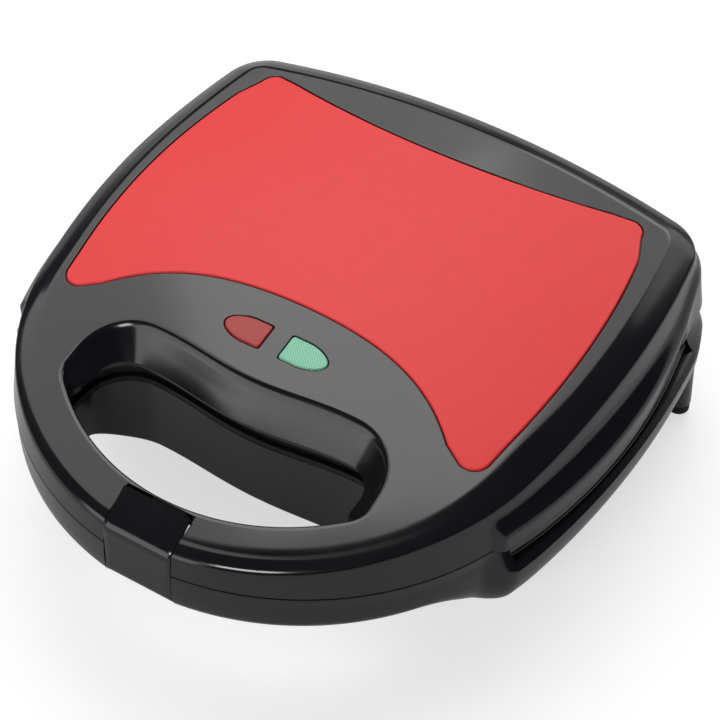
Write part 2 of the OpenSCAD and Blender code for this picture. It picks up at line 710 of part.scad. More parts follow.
// body from the underside to the joint line
function base_low(y) = mix(handle_height, belly_height, depth_share(y));
function base_off(y, u) = mix(
    mix(-13, 2, pow(sin(90 * u), 0.8)),
    mix(-10, band_reach, pow(sin(90 * u), 1.15)), plate_share(y));
function base_z(y, u) = mix(base_low(y), 46, mix(u, 1 - cos(90 * u), 0.8));

module base_form(inset) {
    steps = [0, 0.18, 0.36, 0.54, 0.72, 0.88, 1];
    top = seam_height - seam_gap / 2 + (inset > 0 ? 6 : 0);
    lift = inset;
    function_low = [for (s = [0.2, 0.4, 0.55, 0.7, 0.85, 0.94]) [for (i = [0 : count - 1])
        let (p = shrink(edge[i] + (base_off(edge[i][1], 0) - inset) * edge_aim[i], s))
        [p[0], p[1], base_low(p[1]) + lift]]];
    sides = [for (u = steps) [for (i = [0 : count - 1])
        let (p = edge[i] + (base_off(edge[i][1], u) - inset) * edge_aim[i])
        [p[0], p[1], base_z(edge[i][1], u) + lift * (1 - u)]]];
    upper = [for (h = [[band_height, 1, 2.2], [seam_height - 5, 0.55, 1.9]]) [for (i = [0 : count - 1])
        let (d = mix(h[2], band_reach, plate_share(edge[i][1]) * h[1]) - inset,
            p = edge[i] + d * edge_aim[i]) [p[0], p[1], h[0]]]];
    rim = [for (i = [0 : count - 1])
        let (d = wall_draft * (edge_z[i] - seam_height) - inset, p = edge[i] + d * edge_aim[i])
        [p[0], p[1], top]];
    skin(concat(function_low, sides, upper, [rim]),
        [core[0], core[1], base_low(core[1]) + lift], [core[0], core[1], top]);
}

module leg(x, y, top_x, top_y, top_z, top_r) {
    hull() {
        translate([x, y, pad_thick]) cylinder(r = pad_radius + 0.3, h = 1, $fn = 28);
        translate([top_x, top_y, top_z]) cylinder(r = top_r, h = 1, $fn = 28);
    }
}

module base_shell() {
    color([0.05, 0.05, 0.055]) difference() {
        union() {
            difference() {
                base_form(0);
                difference() {
                    base_form(wall);
                    grip(3.4, 0, seam_height - seam_gap / 2 - 2.8);
                    for (s = screw_spots) column(s, 5, 0, base_boss_z, 20);
                    hull() for (x = [-1, 1], y = [0, 1])
                        translate([x * (notch_half + 0.5), mix(base_notch_y + 1, -140, y), 30])
                            cylinder(r = 2.4, h = 60, $fn = 24);
                }
            }
            for (x = [-1, 1]) {
                leg(x * rear_foot_x, rear_foot_y, x * (rear_foot_x - 2), rear_foot_y, 38, 8.4);
                leg(x * front_foot_x, front_foot_y, x * front_foot_x, front_foot_y, belly_height + 2, 10);
            }
        }
        grip(1, 0, far);
        for (x = [-1, 1]) {
            translate([x > 0 ? skirt_inner_x - 0.6 : -far, skirt_front_y - 0.6, band_height])
                cube([far - skirt_inner_x + 0.6, skirt_rear_y - skirt_front_y + 1.2, far]);
            hinge_scoop(x);
            for (k = [-1, 1]) translate([x * hinge_x + k * (lid_knuckle + body_knuckle + 2 * knuckle_gap) / 2
                - body_knuckle / 2 - 0.1, flange_front_y - 1, base_flange_z - 0.1])
                cube([body_knuckle + 0.2, 30, far]);
            for (f = [[rear_foot_x, rear_foot_y], [front_foot_x, front_foot_y]])
                translate([x * f[0], f[1], -1]) cylinder(r = 2.7, h = 17, $fn = 24);
        }
        translate([-notch_half, -140, base_notch_z]) cube([2 * notch_half, 140 + base_notch_y, far]);
        for (s = screw_spots) translate([s[0], s[1], 0]) {
            cylinder(r = screw_head_radius + 0.3, h = base_head_z, $fn = 24);
            cylinder(r = screw_radius + 0.1, h = base_boss_z + 1, $fn = 24);
        }
        translate([0, 130, inlet_height]) rotate([90, 0, 0]) cylinder(r = 6.1, h = 30, $fn = 32);
    }
}

base_frame_z = level(-1, flange_thick + seat_gap + deck);
base_deck_z = seam_height - seam_gap - deck;
step_front_y = -47.9;
step_rear_y = 96.5;
step_wall = 2.5;

module base_liner() {
    color([0.1, 0.1, 0.1]) difference() {
        union() {
            intersection() {
                translate([0, 0, base_frame_z]) linear_extrude(deck) polygon([for (i = [0 : count - 1])
                    edge[i] + (mix(1.9, band_reach - 0.3, plate_share(edge[i][1])) - wall - slip) * edge_aim[i]]);
                translate([-far / 2, step_front_y, 0]) cube([far, step_rear_y - step_front_y, far]);
            }
            difference() {
                translate([0, 0, base_deck_z]) linear_extrude(deck) polygon([for (i = [0 : count - 1])
                    edge[i] + (min(mix(1.9, band_reach, plate_share(edge[i][1]) * 0.55),
                    wall_draft * (edge_z[i] - seam_height)) - wall - slip) * edge_aim[i]]);
                translate([-far / 2, step_front_y + step_wall, 0])
                    cube([far, step_rear_y - step_front_y - 2 * step_wall, far]);
            }
            for (y = [step_front_y, step_rear_y - step_wall]) translate([-88, y, base_frame_z])
                cube([176, step_wall, base_deck_z + deck - base_frame_z]);
            for (s = screw_spots) column(s, 4, base_boss_z + seat_gap, base_deck_z + 1, base_deck_z);
            for (s = screw_spots) hull() {
                translate([s[0] - 6, s[1] - 1, base_deck_z]) cube([12, 2, deck]);
                translate([s[0] - 4, s[1] - 1, base_deck_z - 4]) cube([8, 2, deck]);
            }
        }
        plate_window(base_frame_z - 1, base_frame_z + deck + 1);
        grip(1, 0, far);
        translate([-notch_half - 3.2, -140, 0]) cube([2 * notch_half + 6.4, 140 + base_notch_y + 4, far]);
        for (x = [-1, 1], k = [-1, 1])
            translate([x * hinge_x + k * (lid_knuckle + body_knuckle + 2 * knuckle_gap) / 2
                - body_knuckle / 2 - 0.3, flange_front_y - 0.3, 0]) cube([body_knuckle + 0.6, 30, far]);
        for (s = screw_spots) translate([s[0], s[1], 0])
            cylinder(r = screw_radius + 0.1, h = base_deck_z, $fn = 24);
    }
}

module base_screws() {
    color([0.72, 0.72, 0.74]) for (s = screw_spots) translate([s[0], s[1], 0]) {
        translate([0, 0, base_head_z - 2.3]) cylinder(r = screw_head_radius, h = 2.3 - seat_gap, $fn = 24);
        translate([0, 0, base_head_z - 1]) cylinder(r = screw_radius, h = 18, $fn = 24);
    }
}

// hinges: the lid knuckle runs between two body knuckles on each pin
hinge_span = lid_knuckle + 2 * body_knuckle + 2 * knuckle_gap;

module knuckle(x0, length, bore, z0, z1) {
    difference() {
        union() {
            translate([x0, hinge_y, seam_height]) rotate([0, 90, 0])
                cylinder(r = knuckle_radius, h = length, $fn = 40);
            translate([x0, flange_front_y, z0]) cube([length, hinge_y - flange_front_y, z1 - z0]);
        }
        translate([x0 - 1, hinge_y, seam_height]) rotate([0, 90, 0])
            cylinder(r = bore, h = length + 2, $fn = 32);
    }
}

module lid_hinge_knuckles() {
    color([0.6, 0.6, 0.62]) for (x = [-1, 1])
        knuckle(x * hinge_x - lid_knuckle / 2, lid_knuckle, hinge_pin_radius + running_gap,
            lid_flange_z, lid_flange_top);
}

module base_hinge_ears() {
    color([0.6, 0.6, 0.62]) for (x = [-1, 1], k = [0, 1])
        knuckle(x * hinge_x - hinge_span / 2 + k * (hinge_span - body_knuckle), body_knuckle,
            hinge_pin_radius, base_flange_z, base_flange_top);
}

module hinge_pins() {
    color([0.75, 0.75, 0.77]) for (x = [-1, 1])
        translate([x * hinge_x - hinge_span / 2, hinge_y, seam_height]) rotate([0, 90, 0])
            cylinder(r = hinge_pin_radius, h = hinge_span, $fn = 32);
}

// clip: plate with two lugs that swing on a pin in the bracket
bracket_half = 7.5;
lug_gap = 0.4;
lug = 2.6;
lug_radius = 2.5;

module latch_bracket() {
    color([0.55, 0.55, 0.57]) difference() {
        union() {
            translate([-bracket_half, clip_pin_y, clip_pin_z]) rotate([0, 90, 0])
                cylinder(r = lug_radius, h = 2 * bracket_half, $fn = 32);
            translate([-bracket_half, clip_pin_y - 2.2, notch_floor_z + seat_gap])
                cube([2 * bracket_half, 4.4, clip_pin_z - notch_floor_z - seat_gap]);
        }
        translate([-far / 2, clip_pin_y, clip_pin_z]) rotate([0, 90, 0])
            cylinder(r = clip_pin_radius, h = far, $fn = 32);
    }
}

module latch_pin() {
    reach = bracket_half + lug_gap + lug;
    color([0.75, 0.75, 0.77]) translate([-reach, clip_pin_y, clip_pin_z]) rotate([0, 90, 0])
        cylinder(r = clip_pin_radius, h = 2 * reach, $fn = 32);
}

// section of the clip's plate, rear edge first, from a fold arc and a finger tab arc
clip_fold = [-119.6, 64.6];
clip_fold_radius = 6.2;
clip_tab = [-122.2, 46];
clip_tab_radius = 4.4;
clip_outer = concat([[-111.2, 76.3]],
    [for (a = [-60 : 15 : 0]) clip_fold + clip_fold_radius * [-cos(a), -sin(a)]],
    [for (a = [-10 : 20 : 90]) clip_tab + clip_tab_radius * [-cos(a), -sin(a)]]);
clip_inner = concat([[-112.1, 74.5]],
    [for (a = [-60 : 15 : 0]) clip_fold + (clip_fold_radius - clip_thick) * [-cos(a), -sin(a)]],
    [for (a = [-10 : 20 : 90]) clip_tab + (clip_tab_radius - clip_thick) * [-cos(a), -sin(a)]]);

module latch_clip() {
    loop = concat(clip_outer, [for (i = [len(clip_inner) - 1 : -1 : 0]) clip_inner[i]]);
    color([0.06, 0.06, 0.065]) difference() {
        union() {
            translate([-clip_half, 0, 0]) rotate([90, 0, 90]) linear_extrude(2 * clip_half) polygon(loop);
            for (x = [-1, 1]) translate([x * (bracket_half + lug_gap + lug / 2) - lug / 2, 0, 0]) {
                translate([0, clip_pin_y, clip_pin_z]) rotate([0, 90, 0])
                    cylinder(r = lug_radius, h = lug, $fn = 32);
                translate([0, clip_pin_y - 2, clip_pin_z]) cube([lug, 3.5, 3]);
            }
        }
        translate([-far / 2, clip_pin_y, clip_pin_z]) rotate([0, 90, 0])
            cylinder(r = clip_pin_radius + running_gap, h = far, $fn = 32);
    }
}

module catch_plate() {
    color([0.72, 0.72, 0.74]) union() {
        translate([-10, base_notch_y - 1.2, 50]) cube([20, 1.2 - seat_gap, 7]);
        translate([-8, base_notch_y - 2.4, 54.5]) cube([16, 2, 2]);
    }
}

// parts on the body's floor
module thermostat() {
    color([0.8, 0.78, 0.7]) {
        translate([0, plate_y, level(-1, plate_thick + seat_gap + 6)]) cylinder(r = 8, h = 6, $fn = 40);
        translate([-10.5, plate_y - 4, level(-1, plate_thick + seat_gap + 1)]) cube([21, 8, 1]);
    }
}

module thermal_fuse() {
    color([0.75, 0.72, 0.65]) translate([40, plate_y, level(-1, plate_thick + seat_gap + 2.2)])
        rotate([0, 90, 0]) cylinder(r = 2.2, h = 13, $fn = 24);
}

module terminal_block() {
    color([0.9, 0.88, 0.82]) difference() {
        translate([-15, 89, belly_height + wall + seat_gap]) cube([30, 12, 13]);
        for (x = [-10, 0, 10]) translate([x, 102, belly_height + wall + 7]) rotate([90, 0, 0])
            cylinder(r = 1.8, h = 14, $fn = 24);
    }
}

gland_face_y = 119.7;
module cord_gland() {
    color([0.08, 0.08, 0.08]) translate([0, 0, inlet_height]) rotate([-90, 0, 0]) difference() {
        union() {
            translate([0, 0, 108]) cylinder(r = 6, h = gland_face_y + 3 - 108, $fn = 40);
            translate([0, 0, gland_face_y + 0.1]) cylinder(r = 8.5, h = 3, $fn = 40);
        }
        translate([0, 0, 100]) cylinder(r = inlet_bore, h = 40, $fn = 40);
    }
}

module foot(x, y) {
    translate([x, y, 0]) difference() {
        union() {
            cylinder(r = pad_radius, h = pad_thick - seat_gap, $fn = 40);
            cylinder(r = 2.6, h = 11, $fn = 24);
        }
        translate([0, 0, -1]) cylinder(r = 2, h = 2, $fn = 24);
    }
}

module rear_feet() {
    color([0.03, 0.03, 0.03]) for (x = [-1, 1]) foot(x * rear_foot_x, rear_foot_y);
}

module front_feet() {
    color([0.03, 0.03, 0.03]) for (x = [-1, 1]) foot(x * front_foot_x, front_foot_y);
}

module foot_screws() {
    color([0.72, 0.72, 0.74]) for (x = [-1, 1]) {
        translate([x * rear_foot_x, rear_foot_y, 11 + seat_gap]) cylinder(r = 2.6, h = 4.8, $fn = 24);
        translate([x * front_foot_x, front_foot_y, 11 + seat_gap]) cylinder(r = 2.6, h = 4.8, $fn = 24);
    }
}

lid_shell();
lid_panel();
lens_red();
lens_green();
lamp_holder();
neon_lamps();
lid_liner();
lid_screws();
upper_plate();
upper_plate_screws();
upper_element();
upper_element_clamps();
upper_reflector();
lid_hinge_knuckles();
latch_bracket();
latch_pin();
latch_clip();
base_shell();
base_liner();
base_screws();
lower_plate();
lower_plate_screws();
lower_element();
lower_element_clamps();
lower_reflector();
thermostat();
thermal_fuse();
terminal_block();
base_hinge_ears();
hinge_pins();
catch_plate();
cord_gland();
rear_feet();
front_feet();
foot_screws();
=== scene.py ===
import bpy
import bmesh
import json
from math import sin, cos, atan2, sqrt, pi, radians, degrees, ceil
from mathutils import Vector, Matrix


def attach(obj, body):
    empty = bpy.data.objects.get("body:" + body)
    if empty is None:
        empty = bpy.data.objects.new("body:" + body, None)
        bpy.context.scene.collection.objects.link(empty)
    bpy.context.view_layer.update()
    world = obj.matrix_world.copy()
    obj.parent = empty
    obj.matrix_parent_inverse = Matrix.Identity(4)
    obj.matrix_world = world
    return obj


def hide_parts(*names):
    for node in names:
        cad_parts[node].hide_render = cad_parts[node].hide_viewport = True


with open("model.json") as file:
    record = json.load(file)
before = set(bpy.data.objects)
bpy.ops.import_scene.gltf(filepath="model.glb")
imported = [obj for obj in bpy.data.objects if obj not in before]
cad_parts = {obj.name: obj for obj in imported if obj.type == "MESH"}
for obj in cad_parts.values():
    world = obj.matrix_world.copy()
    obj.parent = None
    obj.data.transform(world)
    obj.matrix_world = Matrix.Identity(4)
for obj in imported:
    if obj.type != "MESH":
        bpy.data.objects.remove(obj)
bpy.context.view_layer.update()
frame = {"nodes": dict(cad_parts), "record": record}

scene = bpy.context.scene

# shapes are in millimetres and degrees; lamps, floor and surface patterns are in metres
mm = 0.001

view = {"place": (334.3, -503.1, 685.7), "back": (0.3686, -0.5828, 0.7242), "lens": 110, "sensor": 36, "near": 10}
camera = bpy.data.objects.new("camera", bpy.data.cameras.new("camera"))
scene.collection.objects.link(camera)
camera.data.lens = view["lens"]
camera.data.sensor_width = view["sensor"]
camera.data.clip_start = view["near"] * mm
camera.location = Vector(view["place"]) * mm
camera.rotation_mode = "QUATERNION"
camera.rotation_quaternion = Vector(view["back"]).to_track_quat("Z", "Y")
scene.camera = camera
print("camera placed")


def ease(a, b, t):  # soft step, 0 at a and 1 at b
    u = min(max((t - a) / (b - a), 0), 1)
    return u * u * (3 - 2 * u)


def mix(a, b, t):
    return a + (b - a) * t


def aim(a):  # 0 degrees points to the front, 90 to the right
    return Vector((sin(radians(a)), -cos(radians(a))))


def steps(a, b, count, last=False):
    return [mix(a, b, i / count) for i in range(count + (1 if last else 0))]


def curvePoint(points, t):  # on the bend that three points pull
    (x0, y0), (x1, y1), (x2, y2) = points
    s = 1 - t
    return s * s * x0 + 2 * s * t * x1 + t * t * x2, s * s * y0 + 2 * s * t * y1 + t * t * y2


# the domed top of the lid: it falls to both sides, and to the front from frontFrom on
dome = {"height": 98, "sides": 1380, "frontFrom": 53.6, "front": 1142}


def crown(x, y):
    return dome["height"] - x * x / dome["sides"] - min(y - dome["frontFrom"], 0) ** 2 / dome["front"]


# outline of the lid: nose arc, long side arc, rear corner arc and rear arc
plan = {"noseMid": (0, -13.4), "nose": 112, "noseTurn": 79, "sideMid": (-240.5, 33.35), "side": 357,
        "corner": 18, "rearMid": (0, -703.5), "rear": 820, "points": (130, 110, 30, 80)}


def cornerMid():  # the corner's arc touches the side's arc and the rear's from inside
    side, rear = Vector(plan["sideMid"]), Vector(plan["rearMid"])
    line = rear - side
    a, b, gap = plan["side"] - plan["corner"], plan["rear"] - plan["corner"], line.length
    along = (a * a - b * b + gap * gap) / (2 * gap)
    across = sqrt(a * a - along * along)
    unit = line / gap
    return side + along * unit + across * Vector((-unit.y, unit.x))


def rightHalf():
    corner = cornerMid()
    side, rear = Vector(plan["sideMid"]), Vector(plan["rearMid"])
    start = degrees(atan2(corner.x - side.x, side.y - corner.y))
    stop = degrees(atan2(corner.x - rear.x, rear.y - corner.y))
    arcs = [(Vector(plan["noseMid"]), plan["nose"], 0, plan["noseTurn"]),
            (side, plan["side"], plan["noseTurn"], start),
            (corner, plan["corner"], start, stop),
            (rear, plan["rear"], stop, 180)]
    return [(mid + r * aim(a), aim(a)) for (mid, r, a0, a1), n in zip(arcs, plan["points"]) for a in steps(a0, a1, n)]


def mirrored(right, middle):
    flip = lambda s: (Vector((-s[0].x, s[0].y)), Vector((-s[1].x, s[1].y)), *s[2:])
    return right + [middle] + [flip(s) for s in reversed(right[1:])]


# the outline's points with their outward ways, and the sloped border inside it, flatter at the nose
slope = {"span": (-90, -20), "drop": (0.9, 4.6), "width": (7.5, 10.6)}
edge = mirrored(rightHalf(), (Vector((0, plan["rearMid"][1] + plan["rear"])), Vector((0, 1))))
edgeZ = [crown(p.x, p.y) - mix(*slope["drop"], ease(*slope["span"], p.y)) for p, a in edge]
border = [mix(*slope["width"], ease(*slope["span"], p.y)) for p, a in edge]


def ringOf(out, height):
    ring = []
    for i, (p, a) in enumerate(edge):
        q = p + out(i) * a
        ring.append((q.x, q.y, height(i, q)))
    return ring


def flatRing(points, height):
    return [(p.x, p.y, height(p.x, p.y)) for p in points]


def circle(x, y, radius, z):
    return [(x + radius * cos(radians(a)), y + radius * sin(radians(a)), z) for a in range(0, 360, 8)]


# a skin through rings of points; gives back the edges of each ring
def tubeIn(bm, rings):
    verts = [bm.verts.new(Vector(p) * mm) for p in rings[0]]
    loops = [[bm.edges.new((verts[k - 1], verts[k])) for k in range(len(verts))]]
    for ring in rings[1:]:
        made = bmesh.ops.extrude_edge_only(bm, edges=loops[-1])["geom"]
        fresh = {g for g in made if isinstance(g, bmesh.types.BMVert)}
        verts = [next(e.other_vert(v) for e in v.link_edges if e.other_vert(v) in fresh) for v in verts]
        for v, p in zip(verts, ring):
            v.co = Vector(p) * mm
        loops.append([bm.edges.get((verts[k - 1], verts[k])) for k in range(len(verts))])
    return loops


def closedTubeIn(bm, rings):
    loops = tubeIn(bm, rings)
    for loop in (loops[0], loops[-1]):
        bmesh.ops.edgeloop_fill(bm, edges=loop)


deck = {"shift": 0.137, "hidden": 14}  # shift keeps the cuts off the outlines' own points


# fills the face between loops, cuts it to a grid and lifts it to its height
def deckIn(bm, loops, height, step):
    edges = [e for loop in loops for e in loop]
    made = bmesh.ops.triangle_fill(bm, edges=edges, use_beauty=False, use_dissolve=True, normal=(0, 0, 1))
    faces = [g for g in made["geom"] if isinstance(g, bmesh.types.BMFace)]
    rim = {v for e in edges for v in e.verts}
    pitch = step * mm
    for axis in (0, 1):
        spread = [v.co[axis] for v in rim]
        low, high = ceil(min(spread) / pitch), ceil(max(spread) / pitch)
        for k in range(low, high):
            place, way = [0, 0, 0], [0, 0, 0]
            place[axis], way[axis] = (k + deck["shift"]) * pitch, 1
            near, far = [], []
            for f in faces:
                spots = [v.co[axis] for v in f.verts]
                (near if min(spots) < place[axis] < max(spots) else far).append(f)
            lines = dict.fromkeys(e for f in near for e in f.edges)
            dots = dict.fromkeys(v for f in near for v in f.verts)
            cut = bmesh.ops.bisect_plane(bm, geom=[*near, *lines, *dots], dist=1e-8, plane_co=place, plane_no=way)
            faces = far + [g for g in cut["geom"] if isinstance(g, bmesh.types.BMFace)]
    for v in {v for f in faces for v in f.verts}:
        v.co.z = height(v.co.x / mm, v.co.y / mm) * mm


def objectFrom(bm, name):
    mesh = bpy.data.meshes.new(name)
    bm.to_mesh(mesh)
    bm.free()
    made = bpy.data.objects.new(name, mesh)
    scene.collection.objects.link(made)
    return made


def finishPiece(piece, creaseAngle=38):
    piece.data.shade_smooth()
    piece.data.set_sharp_from_angle(angle=radians(creaseAngle))


def pieceFrom(bm, name, material, body, node):
    bmesh.ops.recalc_face_normals(bm, faces=bm.faces)
    piece = objectFrom(bm, name)
    piece.data.materials.append(material)
    finishPiece(piece)
    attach(piece, body)
    if node:
        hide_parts(node)
    return piece


def cutterOf(bm):
    bmesh.ops.recalc_face_normals(bm, faces=bm.faces)
    return objectFrom(bm, "cutter")


def carve(piece, cutters):
    for cutter in cutters:
        change = piece.modifiers.new("carve", "BOOLEAN")
        change.operation = "DIFFERENCE"
        change.solver = "MANIFOLD"
        change.object = cutter
        graph = bpy.context.evaluated_depsgraph_get()
        made = bpy.data.meshes.new_from_object(piece.evaluated_get(graph))
        piece.modifiers.remove(change)
        old = piece.data
        piece.data = made
        bpy.data.meshes.remove(old)
        bpy.data.objects.remove(cutter)
    finishPiece(piece)


def boxIn(bm, low, high):
    size = [(b - a) * mm for a, b in zip(low, high)]
    mid = [(a + b) / 2 * mm for a, b in zip(low, high)]
    bmesh.ops.create_cube(bm, size=1, matrix=Matrix.Translation(mid) @ Matrix.Diagonal((*size, 1)))


def boxCutter(low, high):
    bm = bmesh.new()
    boxIn(bm, low, high)
    return cutterOf(bm)


def rodIn(bm, start, stop, radius, sides=40):
    a, b = Vector(start) * mm, Vector(stop) * mm
    turn = (b - a).to_track_quat("Z", "Y").to_matrix().to_4x4()
    bmesh.ops.create_cone(bm, cap_ends=True, segments=sides, radius1=radius * mm, radius2=radius * mm,
                          depth=(b - a).length, matrix=Matrix.Translation((a + b) / 2) @ turn)


def rodCutter(start, stop, radius):
    bm = bmesh.new()
    rodIn(bm, start, stop, radius)
    return cutterOf(bm)


# node helpers
def freshMaterial(name):
    mat = bpy.data.materials.new(name)
    mat.use_nodes = True
    tree = mat.node_tree
    return mat, tree, tree.nodes["Principled BSDF"]


def plug(tree, socket, value):
    if isinstance(value, bpy.types.NodeSocket):
        tree.links.new(value, socket)
    else:
        socket.default_value = value


def nodeIn(tree, kind, settings=None, **inputs):
    node = tree.nodes.new(kind)
    for key, value in (settings or {}).items():
        setattr(node, key, value)
    for key, value in inputs.items():
        plug(tree, node.inputs[key.replace("_", " ")], value)
    return node


def blend(tree, factor, first, second):  # colours are sockets or red, green and blue
    node = nodeIn(tree, "ShaderNodeMix", {"data_type": "RGBA"}, Factor=factor)
    colourIn = [socket for socket in node.inputs if socket.type == "RGBA"]
    for socket, colour in zip(colourIn, (first, second)):
        plug(tree, socket, (*colour, 1) if isinstance(colour, tuple) else colour)
    return next(socket for socket in node.outputs if socket.type == "RGBA")


def objectPlace(tree):
    return nodeIn(tree, "ShaderNodeTexCoord").outputs["Object"]


# moulded or cast grain: uneven shine between Low and High, and a fine bump
def grainGroup():
    tree = bpy.data.node_groups.new("plasticGrain", "ShaderNodeTree")
    face = tree.interface
    for name, start in (("Fine", 900.0), ("Broad", 30.0), ("Low", 0.1), ("High", 0.2), ("Depth", 0.02)):
        face.new_socket(name, in_out="INPUT", socket_type="NodeSocketFloat").default_value = start
    face.new_socket("Roughness", in_out="OUTPUT", socket_type="NodeSocketFloat")
    face.new_socket("Normal", in_out="OUTPUT", socket_type="NodeSocketVector")
    face.new_socket("Mask", in_out="OUTPUT", socket_type="NodeSocketFloat")
    into = tree.nodes.new("NodeGroupInput").outputs
    place = objectPlace(tree)
    broad = nodeIn(tree, "ShaderNodeTexNoise", Vector=place, Scale=into["Broad"], Detail=4.0).outputs["Fac"]
    fine = nodeIn(tree, "ShaderNodeTexNoise", Vector=place, Scale=into["Fine"], Detail=2.0).outputs["Fac"]
    rough = nodeIn(tree, "ShaderNodeMapRange", Value=broad, From_Min=0.3, From_Max=0.7,
                   To_Min=into["Low"], To_Max=into["High"]).outputs["Result"]
    bump = nodeIn(tree, "ShaderNodeBump", Height=fine, Strength=into["Depth"], Distance=0.0002).outputs["Normal"]
    out = tree.nodes.new("NodeGroupOutput").inputs
    tree.links.new(rough, out["Roughness"])
    tree.links.new(bump, out["Normal"])
    tree.links.new(broad, out["Mask"])
    return tree


grain = grainGroup()


# colour drifts from dark to light, and roughness from low to high
def plastic(name, dark, light, low, high, fine=900.0, broad=30.0, depth=0.02, metal=0.0, coat=0.0, level=0.5):
    mat, tree, shader = freshMaterial(name)
    group = nodeIn(tree, "ShaderNodeGroup", {"node_tree": grain}, Fine=fine, Broad=broad, Low=low, High=high,
                   Depth=depth)
    tree.links.new(blend(tree, group.outputs["Mask"], dark, light), shader.inputs["Base Color"])
    tree.links.new(group.outputs["Roughness"], shader.inputs["Roughness"])
    tree.links.new(group.outputs["Normal"], shader.inputs["Normal"])
    shader.inputs["Metallic"].default_value = metal
    shader.inputs["Coat Weight"].default_value = coat
    shader.inputs["Specular IOR Level"].default_value = level
    return mat


glossBlack = plastic("glossBlack", (0.006, 0.006, 0.007), (0.009, 0.009, 0.010), 0.13, 0.19, depth=0.012, level=0.6)
linerBlack = plastic("linerBlack", (0.004, 0.005, 0.007), (0.007, 0.008, 0.011), 0.36, 0.48, depth=0.10, level=0.25)
panelRed = plastic("panelRed", (0.72, 0.036, 0.038), (0.77, 0.044, 0.046), 0.36, 0.42, broad=120.0, depth=0.03,
                   level=0.25)
redLens = plastic("redLens", (0.30, 0.016, 0.016), (0.40, 0.026, 0.024), 0.18, 0.26, level=0.3)
rubber = plastic("rubber", (0.012, 0.012, 0.012), (0.02, 0.02, 0.02), 0.6, 0.75, depth=0.2)
plateCoat = plastic("plateCoat", (0.028, 0.028, 0.030), (0.040, 0.040, 0.042), 0.34, 0.42, fine=1500.0, depth=0.15)
castMetal = plastic("castMetal", (0.55, 0.55, 0.56), (0.66, 0.66, 0.67), 0.30, 0.42, fine=500.0, depth=0.1,
                    metal=1.0)
zincSteel = plastic("zincSteel", (0.58, 0.58, 0.60), (0.70, 0.70, 0.72), 0.24, 0.38, fine=300.0, depth=0.04,
                    metal=1.0)
heaterSteel = plastic("heaterSteel", (0.30, 0.27, 0.23), (0.42, 0.39, 0.35), 0.35, 0.5, fine=400.0, depth=0.08,
                      metal=1.0)
cream = plastic("cream", (0.62, 0.58, 0.48), (0.72, 0.68, 0.58), 0.4, 0.55, depth=0.06)
lampGlass = plastic("lampGlass", (0.80, 0.42, 0.24), (0.86, 0.50, 0.30), 0.06, 0.12, coat=0.6)

# the green lens is moulded with small prisms, in rows turned by 45 degrees; its colour paints a glint at each prism's
# middle and painted shade at its edges
prism = {"turn": 45, "scale": 1100.0, "paintedGlint": (0.30, 0.76, 0.52), "dark": (0.01, 0.13, 0.07), "strength": 0.5,
         "height": 0.0003, "rough": (0.08, 0.2), "level": 0.35}


def prismLens():
    mat, tree, shader = freshMaterial("greenLens")
    turned = nodeIn(tree, "ShaderNodeMapping", Vector=objectPlace(tree), Rotation=(0, 0, radians(prism["turn"])))
    cells = nodeIn(tree, "ShaderNodeTexVoronoi", {"voronoi_dimensions": "2D"}, Vector=turned.outputs["Vector"],
                   Scale=prism["scale"], Randomness=0.0).outputs["Distance"]
    # painted glint at each prism's middle, fading to darker painted shade towards its edges
    tree.links.new(blend(tree, cells, prism["paintedGlint"], prism["dark"]), shader.inputs["Base Color"])
    bump = nodeIn(tree, "ShaderNodeBump", Height=cells, Strength=prism["strength"], Distance=prism["height"])
    tree.links.new(bump.outputs["Normal"], shader.inputs["Normal"])
    low, high = prism["rough"]
    rough = nodeIn(tree, "ShaderNodeMapRange", Value=cells, To_Min=low, To_Max=high)
    tree.links.new(rough.outputs["Result"], shader.inputs["Roughness"])
    shader.inputs["Specular IOR Level"].default_value = prism["level"]
    return mat


greenLens = prismLens()
print("materials made")

# the lid moulding; brim rounds its lower edge with steps in and up, swell arches the border a little
lid = {"seam": 58.65, "draft": 0.14, "wall": 2.8, "skin": 4.2, "thicker": 0.6, "inside": 6,
       "brim": ((0.35, 0), (0.1, 0.1), (0, 0.35)), "soft": 1.0, "frontSoft": 2.6, "frontSpan": (-122, -80),
       "swell": 0.25, "crease": 1.5, "margin": 0.3, "rows": 24, "grid": 4}
# the pods at its sides, from a front step to a flange at the rear; they swell out between the heights top and full
pods = {"mid": (-116.4, 25.8), "radius": 240.8, "inner": 60, "end": 112, "front": (-53.4, -49.6), "side": (40, 70),
        "flange": 1.8, "flangeSpan": (55, 95), "flangeSide": (50, 95), "top": (73.5, 80.5), "full": (65.5, 75),
        "lateSpan": (70, 105), "blend": 0.5, "trim": 0.05}


def podOut(i, z):
    p, a = edge[i]
    plain = lid["draft"] * (edgeZ[i] - z)
    x, y = abs(p.x), p.y
    late = ease(*pods["lateSpan"], y)
    share = ease(mix(*pods["top"], late), mix(*pods["full"], late), z)
    grown = 0
    if x > pods["inner"]:
        inside = pods["radius"] ** 2 - (y - pods["mid"][1]) ** 2
        pod = (pods["mid"][0] + sqrt(max(inside, 0)) - x) * abs(a.x) if y < pods["end"] else -9
        grown = pod - plain
    flange = pods["flange"] * ease(*pods["flangeSpan"], y) * ease(*pods["flangeSide"], x)
    more = grown - flange  # the greater of pod and flange counts, blended where they meet
    bulge = flange + 0.5 * (more + sqrt(more * more + pods["blend"]))
    return plain + max(bulge - pods["trim"], 0) * share * ease(*pods["front"], y) * ease(*pods["side"], x)


bendRows = (0.2, 0.4, 0.6, 0.8, 1)


